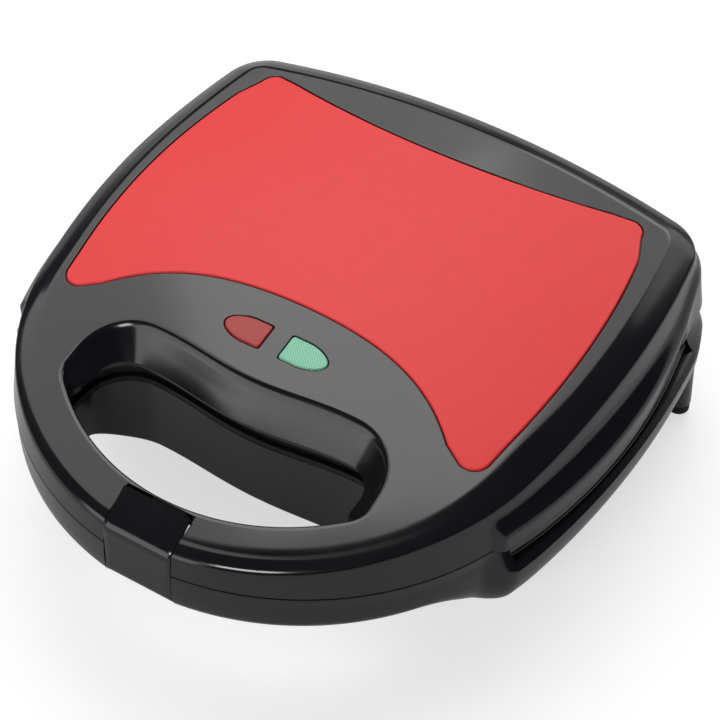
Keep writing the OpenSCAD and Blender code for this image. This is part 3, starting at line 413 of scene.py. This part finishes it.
def lidRings():
    seam, wall, crease, high = lid["seam"], lid["wall"], lid["crease"], lid["seam"] + lid["inside"]
    soft = [mix(lid["frontSoft"], lid["soft"], ease(*lid["frontSpan"], p.y)) for p, a in edge]
    inner = lambda i, z: lid["draft"] * (edgeZ[i] - z) - wall
    rings = [ringOf(lambda i: -wall, lambda i, q: crown(q.x, q.y) - lid["skin"] - lid["thicker"]),
             ringOf(lambda i: inner(i, high), lambda i, q: high),
             ringOf(lambda i: inner(i, seam), lambda i, q: seam + 0.1)]
    for back, up in lid["brim"]:
        rings.append(ringOf(lambda i: podOut(i, seam) - back, lambda i, q: seam + up))
    for t in steps(0.03, 1, lid["rows"], True):
        level = lambda i: mix(seam, edgeZ[i] - soft[i], t)
        rings.append(ringOf(lambda i: podOut(i, level(i)), lambda i, q: level(i)))

    def across(i, s):  # height of the border at s inside the edge
        p, a = edge[i]
        foot = p - border[i] * a
        return mix(edgeZ[i], crown(foot.x, foot.y), s / border[i])

    def outerBend(i):
        start = edgeZ[i] - soft[i]
        return (podOut(i, start), start), (0, edgeZ[i]), (-soft[i], across(i, soft[i]))

    def creaseBend(i):
        (p, a), w = edge[i], border[i]
        mid, far = p - w * a, p - (w + crease) * a
        return (-(w - crease), across(i, w - crease)), (-w, crown(mid.x, mid.y)), (-(w + crease), crown(far.x, far.y))

    def bendRings(bend):
        for t in bendRows:
            row = [curvePoint(bend(i), t) for i in range(len(edge))]
            rings.append(ringOf(lambda i: row[i][0], lambda i, q: row[i][1]))
    bendRings(outerBend)
    for t in (0.2, 0.45, 0.7, 1):
        inward = lambda i: mix(soft[i], border[i] - crease, t)
        rings.append(ringOf(lambda i: -inward(i), lambda i, q: across(i, inward(i)) + lid["swell"] * sin(pi * t)))
    bendRings(creaseBend)
    rings.append(ringOf(lambda i: -(border[i] + crease + lid["margin"]), lambda i, q: crown(q.x, q.y)))
    return rings


# the opening behind the handle: front arc, corners, and a rear side that dips in the middle
grip = {"radius": 94, "turn": 40, "frontCorner": 12, "rearCorner": 18, "rear": (46.5, -69.5), "side": 92, "dip": 4,
        "points": (46, 20, 28, 36)}


def gripOutline():
    mid = Vector(plan["noseMid"])
    front = mid + (grip["radius"] - grip["frontCorner"]) * aim(grip["turn"])
    rear = Vector(grip["rear"])
    arcCount, frontCount, rearCount, backCount = grip["points"]
    # the third value is the share of the rear side's lean
    right = [(mid + grip["radius"] * aim(a), aim(a), 0) for a in steps(0, grip["turn"], arcCount)]
    right += [(front + grip["frontCorner"] * aim(a), aim(a), ease(grip["turn"], grip["side"], a))
              for a in steps(grip["turn"], grip["side"], frontCount)]
    right += [(rear + grip["rearCorner"] * aim(a), aim(a), 1) for a in steps(grip["side"], 180, rearCount)]
    top = rear.y + grip["rearCorner"]
    back = lambda x: Vector((x, top - grip["dip"] * cos(radians(90 * x / rear.x)) ** 2))
    right += [(back(x), Vector((0, 1)), 1) for x in steps(rear.x, 0, backCount)[1:]]
    return mirrored(right, (back(0), Vector((0, 1)), 1))


gripEdge = gripOutline()


def gripPlan(d):
    return [p + d * a for p, a, share in gripEdge]


def gripRing(out, height):
    ring = []
    for p, a, share in gripEdge:
        q = p + out(share) * a
        ring.append((q.x, q.y, height(share, q)))
    return ring


# the opening's wall in the lid: round is the top edge's reach at the front and at the rear, ledge its lowest face
mouth = {"round": (2.4, 4.6), "pull": 3.0, "inset": 1.4, "fall": 3, "rows": 7, "margin": 0.3, "lean": 5,
         "foot": 72.4, "step": 1.8, "ledge": 68, "wall": 2.4}


def mouthRings():
    lean, foot, inset, fall = mouth["lean"], mouth["foot"], mouth["inset"], mouth["fall"]
    wide = lambda g: mix(*mouth["round"], g)
    rings = [gripRing(lambda g: wide(g) + mouth["margin"], lambda g, q: crown(q.x, q.y))]
    for t in steps(0, 1, mouth["rows"], True):
        bend = lambda g: curvePoint(((wide(g), 0), (mouth["pull"] * g, 0), (inset * g, -fall)), t)
        rings.append(gripRing(lambda g: bend(g)[0], lambda g, q: crown(q.x, q.y) + bend(g)[1]))
    for t in (0.3, 0.6, 0.97, 1):
        rings.append(gripRing(lambda g: mix(inset * g, -lean * g, t),
                              lambda g, q: mix(crown(q.x, q.y) - fall, foot, t)))
    for back, step, z in ((0.15, 0.15, foot - 0.3), (0.2, mouth["step"], foot - 0.6),
                          (0.2, mouth["step"], mouth["ledge"] + 0.3), (0.5, mouth["step"], mouth["ledge"])):
        rings.append(gripRing(lambda g: -lean * g + back + step * g, lambda g, q: z))
    behind = gripPlan(mouth["wall"])
    return rings + [flatRing(behind, lambda x, y: mouth["ledge"] + 0.1),
                    flatRing(behind, lambda x, y: crown(x, y) - lid["skin"])]


# the red panel; its front side bows with the second and the fourth power of x
panel = {"front": -14, "bow": (0.00191, 3.555e-7), "frontSpan": (0, 80), "frontCorner": (88.5, -37), "frontSoft": 7,
         "frontTurn": (-20, 82), "sideMid": (-199.4, 20), "sideRadius": 300, "sideSpan": (-33, 87),
         "rearCorner": (84, 90), "rearSoft": 6, "rearTurn": (92, 185), "rear": 84.5, "rearRadius": 296,
         "points": (50, 22, 60), "ends": 3, "groove": 0.5, "grooveSoft": 0.35, "sink": 2.3, "thick": 2.0,
         "rise": 0.1, "soft": 0.7, "grid": 4}


def panelPlan(d):
    second, fourth = panel["bow"]
    front = lambda x: panel["front"] - second * x * x - fourth * x ** 4
    side = lambda y: panel["sideMid"][0] + sqrt(panel["sideRadius"] ** 2 - (y - panel["sideMid"][1]) ** 2)
    rear = lambda x: panel["rear"] + panel["rearRadius"] - sqrt(panel["rearRadius"] ** 2 - x * x)
    lineCount, cornerCount, sideCount = panel["points"]
    ends, ahead = panel["ends"], 0.1

    def along(spot, values):
        points = []
        for v in values:
            way = (spot(v + ahead) - spot(v)).normalized()
            points.append(spot(v) + d * Vector((way.y, -way.x)))
        return points
    frontMid, rearMid = Vector(panel["frontCorner"]), Vector(panel["rearCorner"])
    right = along(lambda x: Vector((x, front(x))), steps(*panel["frontSpan"], lineCount))
    right += [frontMid + (panel["frontSoft"] + d) * aim(a) for a in steps(*panel["frontTurn"], cornerCount)]
    right += along(lambda y: Vector((side(y), y)), steps(*panel["sideSpan"], sideCount)[ends:-ends])
    right += [rearMid + (panel["rearSoft"] + d) * aim(a) for a in steps(*panel["rearTurn"], cornerCount)]
    for x in steps(*reversed(panel["frontSpan"]), lineCount)[ends:]:
        incline = (rear(x + ahead) - rear(x)) / ahead
        right.append(Vector((x, rear(x))) + d * Vector((-incline, 1)).normalized())
    middle = Vector((0, rear(0) + d))
    return right + [middle] + [Vector((-p.x, p.y)) for p in reversed(right[1:])]


# the two lamp lenses, side by side before the panel: square at the middle, round and a little pinched outside
lens = {"inner": 4.5, "outer": 22.8, "mid": -33.8, "half": 5.6, "straight": 8, "corner": 1.2, "pinch": 0.12,
        "gap": 0.4, "pit": 3.7, "pitSoft": 0.3, "thick": 3.9, "rise": 0.3, "soft": 0.6, "grid": 2}


def lensPlan(side, d):
    flat = lens["inner"] + lens["straight"]
    tip, half, corner, mid = lens["outer"] + d - flat, lens["half"] + d, lens["corner"], lens["mid"]
    start = lens["inner"] - d + corner
    loop = []
    for y, turn in ((mid + half - corner, 180), (mid - half + corner, 270)):
        loop += [Vector((start, y)) + corner * aim(a) for a in steps(turn, turn + 90, 5, True)]
    loop += [Vector((x, mid - half)) for x in steps(loop[-1].x + 0.6, flat, 6)]
    for a in steps(-90, 90, 36, True):
        out, up = cos(radians(a)), sin(radians(a))
        loop.append(Vector((flat + tip * out, mid + half * up * (1 - lens["pinch"] * out))))
    loop += [Vector((x, mid + half)) for x in steps(flat, start + 0.6, 6, True)[1:]]
    return [Vector((side * p.x, p.y)) for p in loop]


# the soft rim and the wall of a recess in the lid's top
def rimRings(planOf, soft, depth, count=3):
    rings = [flatRing(planOf(soft + 0.2), crown)]
    for t in steps(0, 90, count, True):
        a = radians(t)
        rings.append(flatRing(planOf(soft * (1 - sin(a))), lambda x, y: crown(x, y) - soft * (1 - cos(a))))
    return rings + [flatRing(planOf(0), lambda x, y: crown(x, y) - depth)]


def lidShell():
    bm = bmesh.new()
    outer = tubeIn(bm, lidRings())
    hole = tubeIn(bm, mouthRings())
    sink = tubeIn(bm, rimRings(lambda d: panelPlan(panel["groove"] + d), panel["grooveSoft"], panel["sink"]))
    pits = [tubeIn(bm, rimRings(lambda d: lensPlan(side, lens["gap"] + d), lens["pitSoft"], lens["pit"]))
            for side in (1, -1)]
    deckIn(bm, [outer[-1], hole[0], sink[0]] + [pit[0] for pit in pits], crown, lid["grid"])
    deckIn(bm, [sink[-1]], lambda x, y: crown(x, y) - panel["sink"], deck["hidden"])
    for pit in pits:
        bmesh.ops.triangle_fill(bm, edges=pit[-1], use_beauty=True, normal=(0, 0, 1))
    deckIn(bm, [outer[0], hole[-1]], lambda x, y: crown(x, y) - lid["skin"], deck["hidden"])
    return pieceFrom(bm, "lidShell", glossBlack, "lid", "lid_shell")


# room for the two hinges: a bore round the pin, and slots for the lid's knuckle and for the body's ears
hinge = {"x": 70, "reach": 18, "y": 122.9, "z": 58.5, "bore": 5.2, "span": (103, 134), "top": 62,
         "lidSlots": [(-8.1, 8.1)], "lidLow": 50, "bodySlots": [(-16.4, -8.2), (8.2, 16.4)], "bodyLow": 55}


def hingeCutters(side, slots, low):
    x, (front, rear) = side * hinge["x"], hinge["span"]
    ends = [(x + way * hinge["reach"], hinge["y"], hinge["z"]) for way in (-1, 1)]
    made = [rodCutter(*ends, hinge["bore"])]
    return made + [boxCutter((x + left, front, low), (x + right, rear, hinge["top"])) for left, right in slots]


# room for the clip, each cut as its rear face, its floor and its top
notch = {"half": 15.1, "ahead": -140, "lid": [(-108.7, 59.7, 110), (-120.4, 50, 70)], "body": [(-120.4, 38.6, 80)]}


def notchCutters(cuts):
    half, ahead = notch["half"], notch["ahead"]
    return [boxCutter((-half, ahead, low), (half, rear, high)) for rear, low, high in cuts]


lidPiece = lidShell()
cutters = notchCutters(notch["lid"])
for side in (1, -1):
    cutters += hingeCutters(side, hinge["lidSlots"], hinge["lidLow"])
carve(lidPiece, cutters)
print("lid moulding made", len(lidPiece.data.polygons))


# a piece let into the lid's top, with a soft upper edge
def capPiece(name, planOf, spec, material, node):
    bm = bmesh.new()
    soft, deep = spec["soft"], spec["thick"]
    top = lambda x, y: crown(x, y) + spec["rise"]
    rings = [flatRing(planOf(-0.2), lambda x, y: top(x, y) - deep),
             flatRing(planOf(0), lambda x, y: top(x, y) - deep + 0.2)]
    for t in steps(0, 90, 5, True):
        a = radians(t)
        rings.append(flatRing(planOf(-soft * (1 - cos(a))), lambda x, y: top(x, y) - soft * (1 - sin(a))))
    rings.append(flatRing(planOf(-soft - 0.25), top))
    loops = tubeIn(bm, rings)
    deckIn(bm, [loops[-1]], top, spec["grid"])
    deckIn(bm, [loops[0]], lambda x, y: top(x, y) - deep, deck["hidden"])
    return pieceFrom(bm, name, material, "lid", node)


capPiece("lidPanel", panelPlan, panel, panelRed, "lid_panel")
capPiece("greenLens", lambda d: lensPlan(1, d), lens, greenLens, "lens_green")
capPiece("redLens", lambda d: lensPlan(-1, d), lens, redLens, "lens_red")
print("panel and lenses made")

# strips that hang from the lid on both sides, over the steam gaps, with a fine lip along the lower edge
skirt = {"front": -48, "rear": 82, "top": 58.9, "low": 53.2, "least": 1.5, "inset": 0.6, "thick": 2.6, "soft": 0.4,
         "end": 3, "lip": 0.5, "lipHigh": 0.7, "lipTop": 0.9}


def skirtSection(out, low):
    soft, top, lip, back = skirt["soft"], skirt["top"], out + skirt["lip"], out - skirt["thick"]
    aside = lambda t: soft * (1 - cos(radians(t)))
    rise = lambda t: low + soft * (1 - sin(radians(t)))
    section = [(back, top), (back, low + soft)]
    section += [(back + aside(t), rise(t)) for t in (30, 60, 90)]
    section += [(lip - aside(t), rise(t)) for t in (90, 60, 30, 0)]
    lipHigh, lipTop = low + skirt["lipHigh"], low + skirt["lipTop"]
    return section + [(lip, lipHigh), (lip - 0.1, lipHigh + 0.15), (out, lipTop),
                      (out - 0.05, max(lipTop + 0.3, top - 0.2)), (out - 0.1, max(lipTop + 0.4, top))]


def skirtPiece(name, side):
    bm = bmesh.new()
    rings = []
    for i, (p, a) in enumerate(edge):
        if p.x > 0 and skirt["front"] <= p.y <= skirt["rear"]:
            inward = min(min(p.y - skirt["front"], skirt["rear"] - p.y) / skirt["end"], 1)
            low = skirt["low"] + skirt["end"] * (1 - sqrt(max(1 - (1 - inward) ** 2, 0)))
            section = skirtSection(podOut(i, lid["seam"]) - skirt["inset"], min(low, skirt["top"] - skirt["least"]))
            rings.append([(side * (p.x + d * a.x), p.y + d * a.y, z) for d, z in section])
    closedTubeIn(bm, rings)
    return pieceFrom(bm, name, glossBlack, "lid", None)


skirtPiece("skirtRight", 1)
skirtPiece("skirtLeft", -1)
print("skirts made")

# the body moulding: a shallow bowl under the handle, a deeper one with a band under the plates
base = {"handle": 36.3, "belly": 18, "bellySpan": (-80, -45), "bandFront": (-57, -47), "bandRear": (78, 126),
        "handleReach": (-13, 2), "handleTurn": 0.8, "plateReach": -10, "plateTurn": 1.15, "band": 10.12, "bandZ": 46,
        "even": 0.8, "waist": (48.8, 2.12), "neck": (53.5, 1.9, 0.55), "rim": 58.35, "rimDraft": 58.5, "wall": 2.8,
        "inside": 50, "grid": 6, "mouth": 1, "mouthSoft": 2.0, "mouthTop": 55.3, "mouthWall": 2.4,
        "turnRows": (0, 0.02, 0.05, 0.1, 0.16, 0.22, 0.3, 0.38, 0.46, 0.54, 0.62, 0.7, 0.78, 0.86, 0.93, 1),
        "wallRows": (47.4, 48.8, 49.6, 51, 52.4, 53.5, 54.6, 56, 57.2, 58)}


def baseLow(y):
    return mix(base["handle"], base["belly"], ease(*base["bellySpan"], y))


def plateShare(y):
    return ease(*base["bandFront"], y) * (1 - ease(*base["bandRear"], y))


def baseOut(y, u):
    turn = sin(radians(90 * u))
    handle = mix(*base["handleReach"], turn ** base["handleTurn"])
    return mix(handle, mix(base["plateReach"], base["band"], turn ** base["plateTurn"]), plateShare(y))


def baseZ(y, u):
    return mix(baseLow(y), base["bandZ"], mix(u, 1 - cos(radians(90 * u)), base["even"]))


def baseRings():
    wall, rim, band = base["wall"], base["rim"], base["band"]
    rings = []
    for u in base["turnRows"]:
        rings.append(ringOf(lambda i: baseOut(edge[i][0].y, u), lambda i, q: baseZ(edge[i][0].y, u)))
    share = [plateShare(p.y) for p, a in edge]
    rimOut = [lid["draft"] * (z - base["rimDraft"]) for z in edgeZ]
    (waistZ, waistOut), (neckZ, neckOut, neckBand) = base["waist"], base["neck"]

    def outAt(i, z):
        points = [(base["bandZ"], baseOut(edge[i][0].y, 1)), (waistZ, mix(waistOut, band, share[i])),
                  (neckZ, mix(neckOut, band, share[i] * neckBand)), (rim, rimOut[i])]
        for (z0, d0), (z1, d1) in zip(points, points[1:]):
            if z <= z1:
                return mix(d0, d1, (z - z0) / (z1 - z0))
    for z in base["wallRows"]:
        rings.append(ringOf(lambda i: outAt(i, z), lambda i, q: z))
    for back, z in ((0.1, rim - 0.1), (0.35, rim), (wall, rim - 0.1), (wall, base["inside"])):
        rings.append(ringOf(lambda i: rimOut[i] - back, lambda i, q: z))
    turned = 0.6
    rings.append(ringOf(lambda i: min(baseOut(edge[i][0].y, turned) - wall, rimOut[i] - wall),
                        lambda i, q: baseZ(edge[i][0].y, turned) + 1))
    rings.append(ringOf(lambda i: baseOut(edge[i][0].y, 0) - 1, lambda i, q: baseLow(q.y) + wall))
    return rings


def baseShell():
    bm = bmesh.new()
    outer = tubeIn(bm, baseRings())
    under = lambda x, y: baseLow(y)
    above = lambda x, y: baseLow(y) + base["wall"]
    out, soft, top = base["mouth"], base["mouthSoft"], base["mouthTop"]
    wall = []
    for t in steps(0, 90, 5, True):
        a = radians(t)
        wall.append(flatRing(gripPlan(out + soft * (1 - sin(a))), lambda x, y: baseLow(y) + soft * (1 - cos(a))))
    behind = gripPlan(out + base["mouthWall"])
    wall += [flatRing(gripPlan(out), lambda x, y: base["inside"]), flatRing(gripPlan(out), lambda x, y: top),
             flatRing(behind, lambda x, y: top - 0.1), flatRing(behind, above)]
    hole = tubeIn(bm, wall)
    deckIn(bm, [outer[0], hole[0]], under, base["grid"])
    deckIn(bm, [outer[-1], hole[-1]], above, deck["hidden"])
    return pieceFrom(bm, "baseShell", glossBlack, "base", "base_shell")


steamGap = {"x": (105.4, 140), "y": (-48.6, 82.6), "z": (51.2, 70)}  # on both sides, behind the skirts
inlet = {"span": (100, 140), "z": 46, "radius": 6.1}  # round hole through the rear wall


def gapCutter(side):
    left, right = sorted(side * x for x in steamGap["x"])
    (front, rear), (low, high) = steamGap["y"], steamGap["z"]
    return boxCutter((left, front, low), (right, rear, high))


basePiece = baseShell()
cutters = notchCutters(notch["body"])
for side in (1, -1):
    cutters.append(gapCutter(side))
    cutters += hingeCutters(side, hinge["bodySlots"], hinge["bodyLow"])
cutters.append(rodCutter(*[(0, y, inlet["z"]) for y in inlet["span"]], inlet["radius"]))
carve(basePiece, cutters)
print("body moulding made", len(basePiece.data.polygons))

# each leg tapers from its top to its tip; stops are shares of its height, with what the radius gains there
legs = {"rear": {"foot": (113.2, 97.3), "top": (109.6, 94.6), "high": 38, "wide": 8.2, "tip": 5.0},
        "front": {"foot": (84, -28), "top": (84, -28), "high": 20, "wide": 10, "tip": 7.5},
        "low": 3.95, "stops": ((0, -0.7), (0.015, -0.2), (0.04, 0), (0.3, 0), (0.6, 0), (1, 0))}


def legsPiece():
    bm = bmesh.new()
    for side in (1, -1):
        for leg in (legs["rear"], legs["front"]):
            rings = []
            for t, gain in legs["stops"]:
                x, y = (mix(a, b, t) for a, b in zip(leg["foot"], leg["top"]))
                rings.append(circle(side * x, y, mix(leg["tip"], leg["wide"], t) + gain,
                                    mix(legs["low"], leg["high"], t)))
            closedTubeIn(bm, rings)
    return pieceFrom(bm, "legs", glossBlack, "base", None)


# rubber pads under the rear legs, hollow at the middle of the sole
pad = {"radius": 4.7, "high": 4.4, "soft": 0.9, "sole": 1.8, "hollow": 0.5}


def padPiece():
    bm = bmesh.new()
    radius, high, soft, sole, hollow = (pad[key] for key in ("radius", "high", "soft", "sole", "hollow"))
    outline = [(radius - sole - 0.4, hollow), (radius - sole, 0)]
    outline += [(radius - soft * (1 - sin(radians(a))), soft * (1 - cos(radians(a)))) for a in (15, 40, 65, 90)]
    outline += [(radius, high - 0.5), (radius - 0.5, high)]
    x, y = legs["rear"]["foot"]
    for side in (1, -1):
        closedTubeIn(bm, [circle(side * x, y, r, z) for r, z in outline])
    return pieceFrom(bm, "rearPads", rubber, "base", "rear_feet")


padPiece()
legsPiece()
print("legs made")

# the clip: a sheet from its rear end over a bend down to the tab's hook, and two lugs on the pin behind it
clip = {"half": 14.9, "thick": 1.8, "soft": 0.5, "rows": 14, "rear": (-111.2, 76.3), "under": (-0.45, -0.9),
        "bends": (((-119.6, 64.6), 6.2, -60, 0, 12), ((-122.2, 46), 4.4, -10, 90, 20)),
        "lug": 9.2, "lugHalf": 1.3, "pin": (-115, 69.3), "lugRadius": 2.5, "web": ((-117, 69.1), (-113.5, 72.1))}


def clipSection(depth):
    points = [Vector(clip["rear"]) + Vector(clip["under"]) * depth]
    for mid, radius, start, stop, count in clip["bends"]:
        points += [Vector(mid) - (radius - depth) * Vector((cos(radians(a)), sin(radians(a))))
                   for a in steps(start, stop, count, True)]
    return points


def clipPiece():
    bm = bmesh.new()
    half, soft = clip["half"], clip["soft"]
    stops = [(-half, soft), (-half + 0.15, 0.2), (-half + soft, 0)]
    stops += [(x, 0) for x in steps(-half + soft, half - soft, clip["rows"], True)[1:]]
    stops += [(half - 0.15, 0.2), (half, soft)]
    inner = clipSection(clip["thick"])[::-1]
    closedTubeIn(bm, [[(x, p.x, p.y) for p in clipSection(shrink) + inner] for x, shrink in stops])
    low, high = clip["web"]
    for x in (clip["lug"], -clip["lug"]):
        left, right = x - clip["lugHalf"], x + clip["lugHalf"]
        rodIn(bm, (left, *clip["pin"]), (right, *clip["pin"]), clip["lugRadius"])
        boxIn(bm, (left, *low), (right, *high))
    return pieceFrom(bm, "latchClip", glossBlack, "latch", "latch_clip")


clipPiece()
print("clip made")

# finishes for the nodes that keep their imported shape
finishes = {"black_matte": linerBlack, "black_gloss": glossBlack, "red_panel": panelRed, "red_lens": redLens,
            "green_lens": greenLens, "lamp_glass": lampGlass, "coated_plate": plateCoat,
            "bare_aluminium": castMetal, "heater_steel": heaterSteel, "zinc_steel": zincSteel,
            "cream_insulator": cream, "foot_rubber": rubber}
for part in frame["record"]["subparts"]:
    node = frame["nodes"].get(part["node"])
    if node and part["material_slot"] in finishes:
        for place in node.material_slots:
            place.material = finishes[part["material_slot"]]
print("finishes set")

# a pale floor that glows; reflections see only a share of the glow
ground = {"size": 3, "cells": 8, "tones": ((0.45, 0.45, 0.45), (0.47, 0.47, 0.47)), "speck": 6.0, "glow": 0.64,
          "mirrored": 0.2}


def floorPiece():
    bm = bmesh.new()
    bmesh.ops.create_grid(bm, x_segments=ground["cells"], y_segments=ground["cells"], size=ground["size"])
    floor = objectFrom(bm, "floor")
    mat, tree, shader = freshMaterial("floor")
    tree.nodes.remove(shader)
    path = nodeIn(tree, "ShaderNodeLightPath").outputs
    either = nodeIn(tree, "ShaderNodeMath", {"operation": "MAXIMUM"})
    seen = nodeIn(tree, "ShaderNodeMath", {"operation": "MULTIPLY_ADD", "use_clamp": True})
    for node, values in ((either, (path["Is Transmission Ray"], path["Is Glossy Ray"])),
                         (seen, (either.outputs["Value"], ground["mirrored"], path["Is Camera Ray"]))):
        for socket, value in zip(node.inputs, values):
            plug(tree, socket, value)
    speck = nodeIn(tree, "ShaderNodeTexNoise", Vector=objectPlace(tree), Scale=ground["speck"]).outputs["Fac"]
    plain = nodeIn(tree, "ShaderNodeBsdfDiffuse", Color=blend(tree, speck, *ground["tones"])).outputs["BSDF"]
    glow = nodeIn(tree, "ShaderNodeEmission", Strength=ground["glow"]).outputs["Emission"]
    both = nodeIn(tree, "ShaderNodeAddShader")
    pick = nodeIn(tree, "ShaderNodeMixShader")
    for node, values in ((both, (plain, glow)), (pick, (seen.outputs["Value"], plain, both.outputs["Shader"]))):
        for socket, value in zip(node.inputs, values):
            plug(tree, socket, value)
    tree.links.new(pick.outputs["Shader"], tree.nodes["Material Output"].inputs["Surface"])
    floor.data.materials.append(mat)


floorPiece()

# lamps stand round the part: az turns clockwise from the rear, el is the height, power is in watts
lampTint = (1, 0.975, 0.95)
lamps = {"window": {"az": -39, "el": 56, "far": 1.5, "wide": 2.7, "high": 1.7, "power": 22},
         "core": {"az": -39, "el": 63.5, "far": 1.46, "wide": 0.74, "high": 1.05, "power": 4},
         "front": {"az": 173, "el": 35, "far": 1.6, "wide": 0.45, "high": 0.35, "power": 6},
         "low": {"az": -157, "el": 14, "far": 1.6, "wide": 1.1, "high": 0.8, "power": 5.5},
         "rear": {"az": 8, "el": 26, "far": 1.6, "wide": 1.3, "high": 0.8, "power": 4}}
for name, spec in lamps.items():
    data = bpy.data.lights.new(name, "AREA")
    data.shape = "RECTANGLE"
    data.size, data.size_y, data.energy = spec["wide"], spec["high"], spec["power"]
    data.color = lampTint
    lamp = bpy.data.objects.new(name, data)
    az, el = radians(spec["az"]), radians(spec["el"])
    way = Vector((sin(az) * cos(el), cos(az) * cos(el), sin(el)))
    lamp.location = way * spec["far"]
    lamp.rotation_mode = "QUATERNION"
    lamp.rotation_quaternion = way.to_track_quat("Z", "Y")
    scene.collection.objects.link(lamp)

# reflections see a dark room over a pale ground, the camera sees white, and diffuse light is soft grey
room = {"pale": (0.95, 0.95, 0.95), "dark": (0.025, 0.03, 0.05), "rise": (-0.02, 0.05), "white": (1.0, 1.0, 1.0),
        "soft": (0.14, 0.14, 0.145)}


def worldLight():
    world = bpy.data.worlds.new("studio")
    scene.world = world
    world.use_nodes = True
    tree = world.node_tree
    path = nodeIn(tree, "ShaderNodeLightPath").outputs
    way = nodeIn(tree, "ShaderNodeSeparateXYZ", Vector=nodeIn(tree, "ShaderNodeTexCoord").outputs["Generated"])
    low, high = room["rise"]
    rise = nodeIn(tree, "ShaderNodeMapRange", Value=way.outputs["Z"], From_Min=low, From_Max=high)
    seen = blend(tree, path["Is Camera Ray"], blend(tree, rise.outputs["Result"], room["pale"], room["dark"]),
                 room["white"])
    tree.links.new(blend(tree, path["Is Diffuse Ray"], seen, room["soft"]), tree.nodes["Background"].inputs["Color"])


worldLight()
scene.view_settings.view_transform = "Standard"
print("stage and lamps set")
